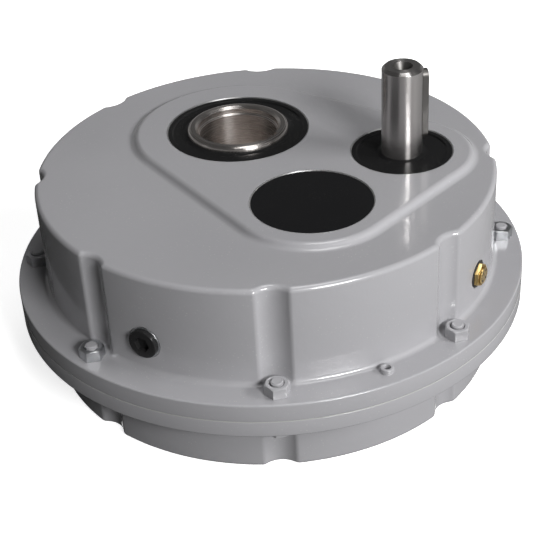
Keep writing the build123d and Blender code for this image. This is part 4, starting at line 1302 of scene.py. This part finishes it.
@dataclass
class Studio:
    """Pale floor, white surround, soft lamps and the camera.

    The far key is two lamps in one place, because its full strength in reflections turns the
    wall white where it is seen from low behind. Lengths here are metres.
    """


    lamps: tuple[Lamp, ...] = (
        Lamp("key_far", (4.27, 0.23, 2.38), (2.0, 1.0), 103.0, mirrored=False),
        Lamp("key_sheen", (4.27, 0.23, 2.38), (2.0, 1.0), 55.0),
        Lamp("key_near", (3.37, -2.65, 2.38), (1.6, 1.0), 212.0),
        Lamp("left_strip", (-1.15, -0.75, 0.55), (0.15, 0.8), 0.1),
        Lamp("overhead", (0.25, -0.02, 1.50), (0.6, 0.6), 4.5),
        Lamp("far_side", (-0.60, 1.32, 0.15), (0.7, 0.24), 6.5, mirrored=False),
    )
    azimuth: float = 22.43
    elevation: float = 33.267
    roll: float = -0.0555528
    eye: Triple = (0.3048, -0.6899, 0.5058)
    focal_px: float = 1306.42
    sensor_mm: float = 36.0
    floor_reach: float = 6.0
    floor_z: float = -0.0003
    floor_middle: Triple = (0.031, -0.033, 0.0)
    floor_tones: tuple[float, float] = (0.11, 0.86)
    floor_glow: float = 0.78
    white_from: tuple[float, float] = (0.3, 0.9)
    under_glow: float = 0.5
    under_mirrored: float = 1.3
    under_r: float = 0.1375
    side_glow: float = 0.40
    side_run: tuple[float, float] = (0.0, 0.5)
    horizon: float = 0.28
    horizon_band: tuple[float, float] = (0.42, 0.22)
    shine: float = 0.07
    fill: float = 0.022
    image_px: float = 550.0

    def set_camera(self) -> None:
        """Camera from its fitted angles: forward, right and up, then rolled about forward."""
        a, e = math.radians(self.azimuth), math.radians(self.elevation)
        ahead = Vector((-math.sin(a) * math.cos(e), math.cos(a) * math.cos(e), -math.sin(e)))
        right = Vector((math.cos(a), math.sin(a), 0.0))
        up = right.cross(ahead)
        c, s = math.cos(self.roll), math.sin(self.roll)
        side, rise = right * c + up * s, up * c - right * s
        data = bpy.data.cameras.new("camera")
        data.sensor_width = self.sensor_mm
        data.lens = self.sensor_mm * self.focal_px / self.image_px
        data.clip_start, data.clip_end = 0.01, 50.0
        camera = bpy.data.objects.new("camera", data)
        turn = Matrix((side, rise, -ahead)).transposed().to_4x4()
        camera.matrix_world = Matrix.Translation(self.eye) @ turn
        bpy.context.scene.collection.objects.link(camera)
        bpy.context.scene.camera = camera

    def see(self, nodes: Nodes) -> tuple[Socket, Socket]:
        """Masks of the rays that the camera sees directly or through glass, and of glossy rays."""
        rays = nodes.add("ShaderNodeLightPath").outputs
        seen = nodes.math("MAXIMUM", rays["Is Camera Ray"], rays["Is Transmission Ray"])
        return seen, rays["Is Glossy Ray"]

    def floor_strength(self, nodes: Nodes, seen: Socket, glossy: Socket) -> Socket:
        """Glow of the floor.

        To the camera it grows with distance from the part, so that the shadow stays and the far
        paper is white. Reflections see it brighter towards the right, and the disc under the end
        ring glows, which lights the underside and shows in the bore.

        Args:
            nodes: the paper's nodes. seen, glossy: masks of the rays.

        Returns:
            The emission strength.
        """
        place = nodes.add("ShaderNodeTexCoord").outputs["Object"]
        offset = nodes.add("ShaderNodeVectorMath", operation="SUBTRACT")
        offset.inputs[1].default_value = self.floor_middle
        nodes.tree.links.new(place, offset.inputs[0])
        length = nodes.add("ShaderNodeVectorMath", operation="LENGTH")
        nodes.tree.links.new(offset.outputs["Vector"], length.inputs[0])
        away = length.outputs["Value"]
        far = nodes.math("MULTIPLY", nodes.ramp(away, *self.white_from), 1.0 - self.floor_glow)
        paper_glow = nodes.math("ADD", far, self.floor_glow)
        right = nodes.ramp(nodes.split(place)["X"], *self.side_run)
        sideways = nodes.math("MULTIPLY", glossy, nodes.math("MULTIPLY", right, self.side_glow))
        disc = nodes.math("MULTIPLY", nodes.math("LESS_THAN", away, self.under_r), self.under_glow)
        stronger = nodes.math("MULTIPLY_ADD", glossy, self.under_mirrored, 1.0)
        beneath = nodes.math("MULTIPLY", disc, stronger)
        unseen = nodes.math("SUBTRACT", 1.0, seen)
        others = nodes.math("MULTIPLY", nodes.math("MAXIMUM", sideways, beneath), unseen)
        return nodes.math("ADD", nodes.math("MULTIPLY", seen, paper_glow), others)

    def lay_floor(self) -> None:
        """White paper just below the part, clear from beneath."""
        mesh = bpy.data.meshes.new("floor")
        reach = self.floor_reach
        spots = [(-reach, -reach), (reach, -reach), (reach, reach), (-reach, reach)]
        mesh.from_pydata([(x, y, self.floor_z) for x, y in spots], [], [(0, 1, 2, 3)])
        floor = bpy.data.objects.new("floor", mesh)
        bpy.context.scene.collection.objects.link(floor)
        paper = bpy.data.materials.new("floor_paper")
        paper.use_nodes = True
        nodes = Nodes(paper.node_tree)
        seen, glossy = self.see(nodes)
        dark, pale = [(*grey(tone), 1.0) for tone in self.floor_tones]
        sight = nodes.add("ShaderNodeNewGeometry").outputs["Backfacing"]
        nodes.feed(
            paper.node_tree.nodes["Principled BSDF"], Roughness=0.9, Specular_IOR_Level=0.1,
            Base_Color=nodes.mix(seen, dark, pale), Emission_Color=(1.0, 1.0, 1.0, 1.0),
            Emission_Strength=self.floor_strength(nodes, seen, glossy),
            Alpha=nodes.math("SUBTRACT", 1.0, sight))
        mesh.materials.append(paper)

    def set_world(self) -> None:
        """World that is white to the camera and a weak fill otherwise.

        Reflections see it bright round the horizon and dim higher up.
        """
        world = bpy.data.worlds.new("surround")
        world.use_nodes = True
        bpy.context.scene.world = world
        nodes = Nodes(world.node_tree)
        seen, glossy = self.see(nodes)
        aim = nodes.split(nodes.add("ShaderNodeTexCoord").outputs["Generated"])
        low = nodes.ramp(aim["Z"], *self.horizon_band)
        band = nodes.math("MULTIPLY_ADD", low, self.horizon - self.shine, self.shine)
        bright = nodes.math("MAXIMUM", seen, nodes.math("MULTIPLY", glossy, band))
        nodes.feed(
            world.node_tree.nodes["Background"], Color=(1.0, 1.0, 1.0, 1.0),
            Strength=nodes.math("MAXIMUM", bright, self.fill))

    def build(self) -> None:
        """Sets everything up."""
        self.set_camera()
        self.lay_floor()
        self.set_world()
        for lamp in self.lamps:
            lamp.hang()
        bpy.context.scene.view_settings.view_transform = "Standard"


def main() -> None:
    """Builds the gearbox's looks and its studio in order."""
    logging.basicConfig(level=logging.INFO, format="%(name)s %(message)s")
    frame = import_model()
    CarriedNodes().dress(frame["nodes"])
    plan = CasingPlan()
    upper = UpperCasing(plan)
    upper.make()
    upper.make_bore_edges()
    LowerCasing(plan).make()
    fasteners = FlangeFasteners(plan)
    fasteners.make_nuts()
    fasteners.make_bolts()
    fasteners.make_dowels()
    ports = OilPorts(plan)
    ports.make_washers()
    ports.make_plugs()
    ports.make_breather()
    ports.make_vent_shade()
    shaft_end = ShaftEnd()
    shaft_end.make_edge()
    shaft_end.make_centre()
    Studio().build()


if __name__ == "__main__":
    main()
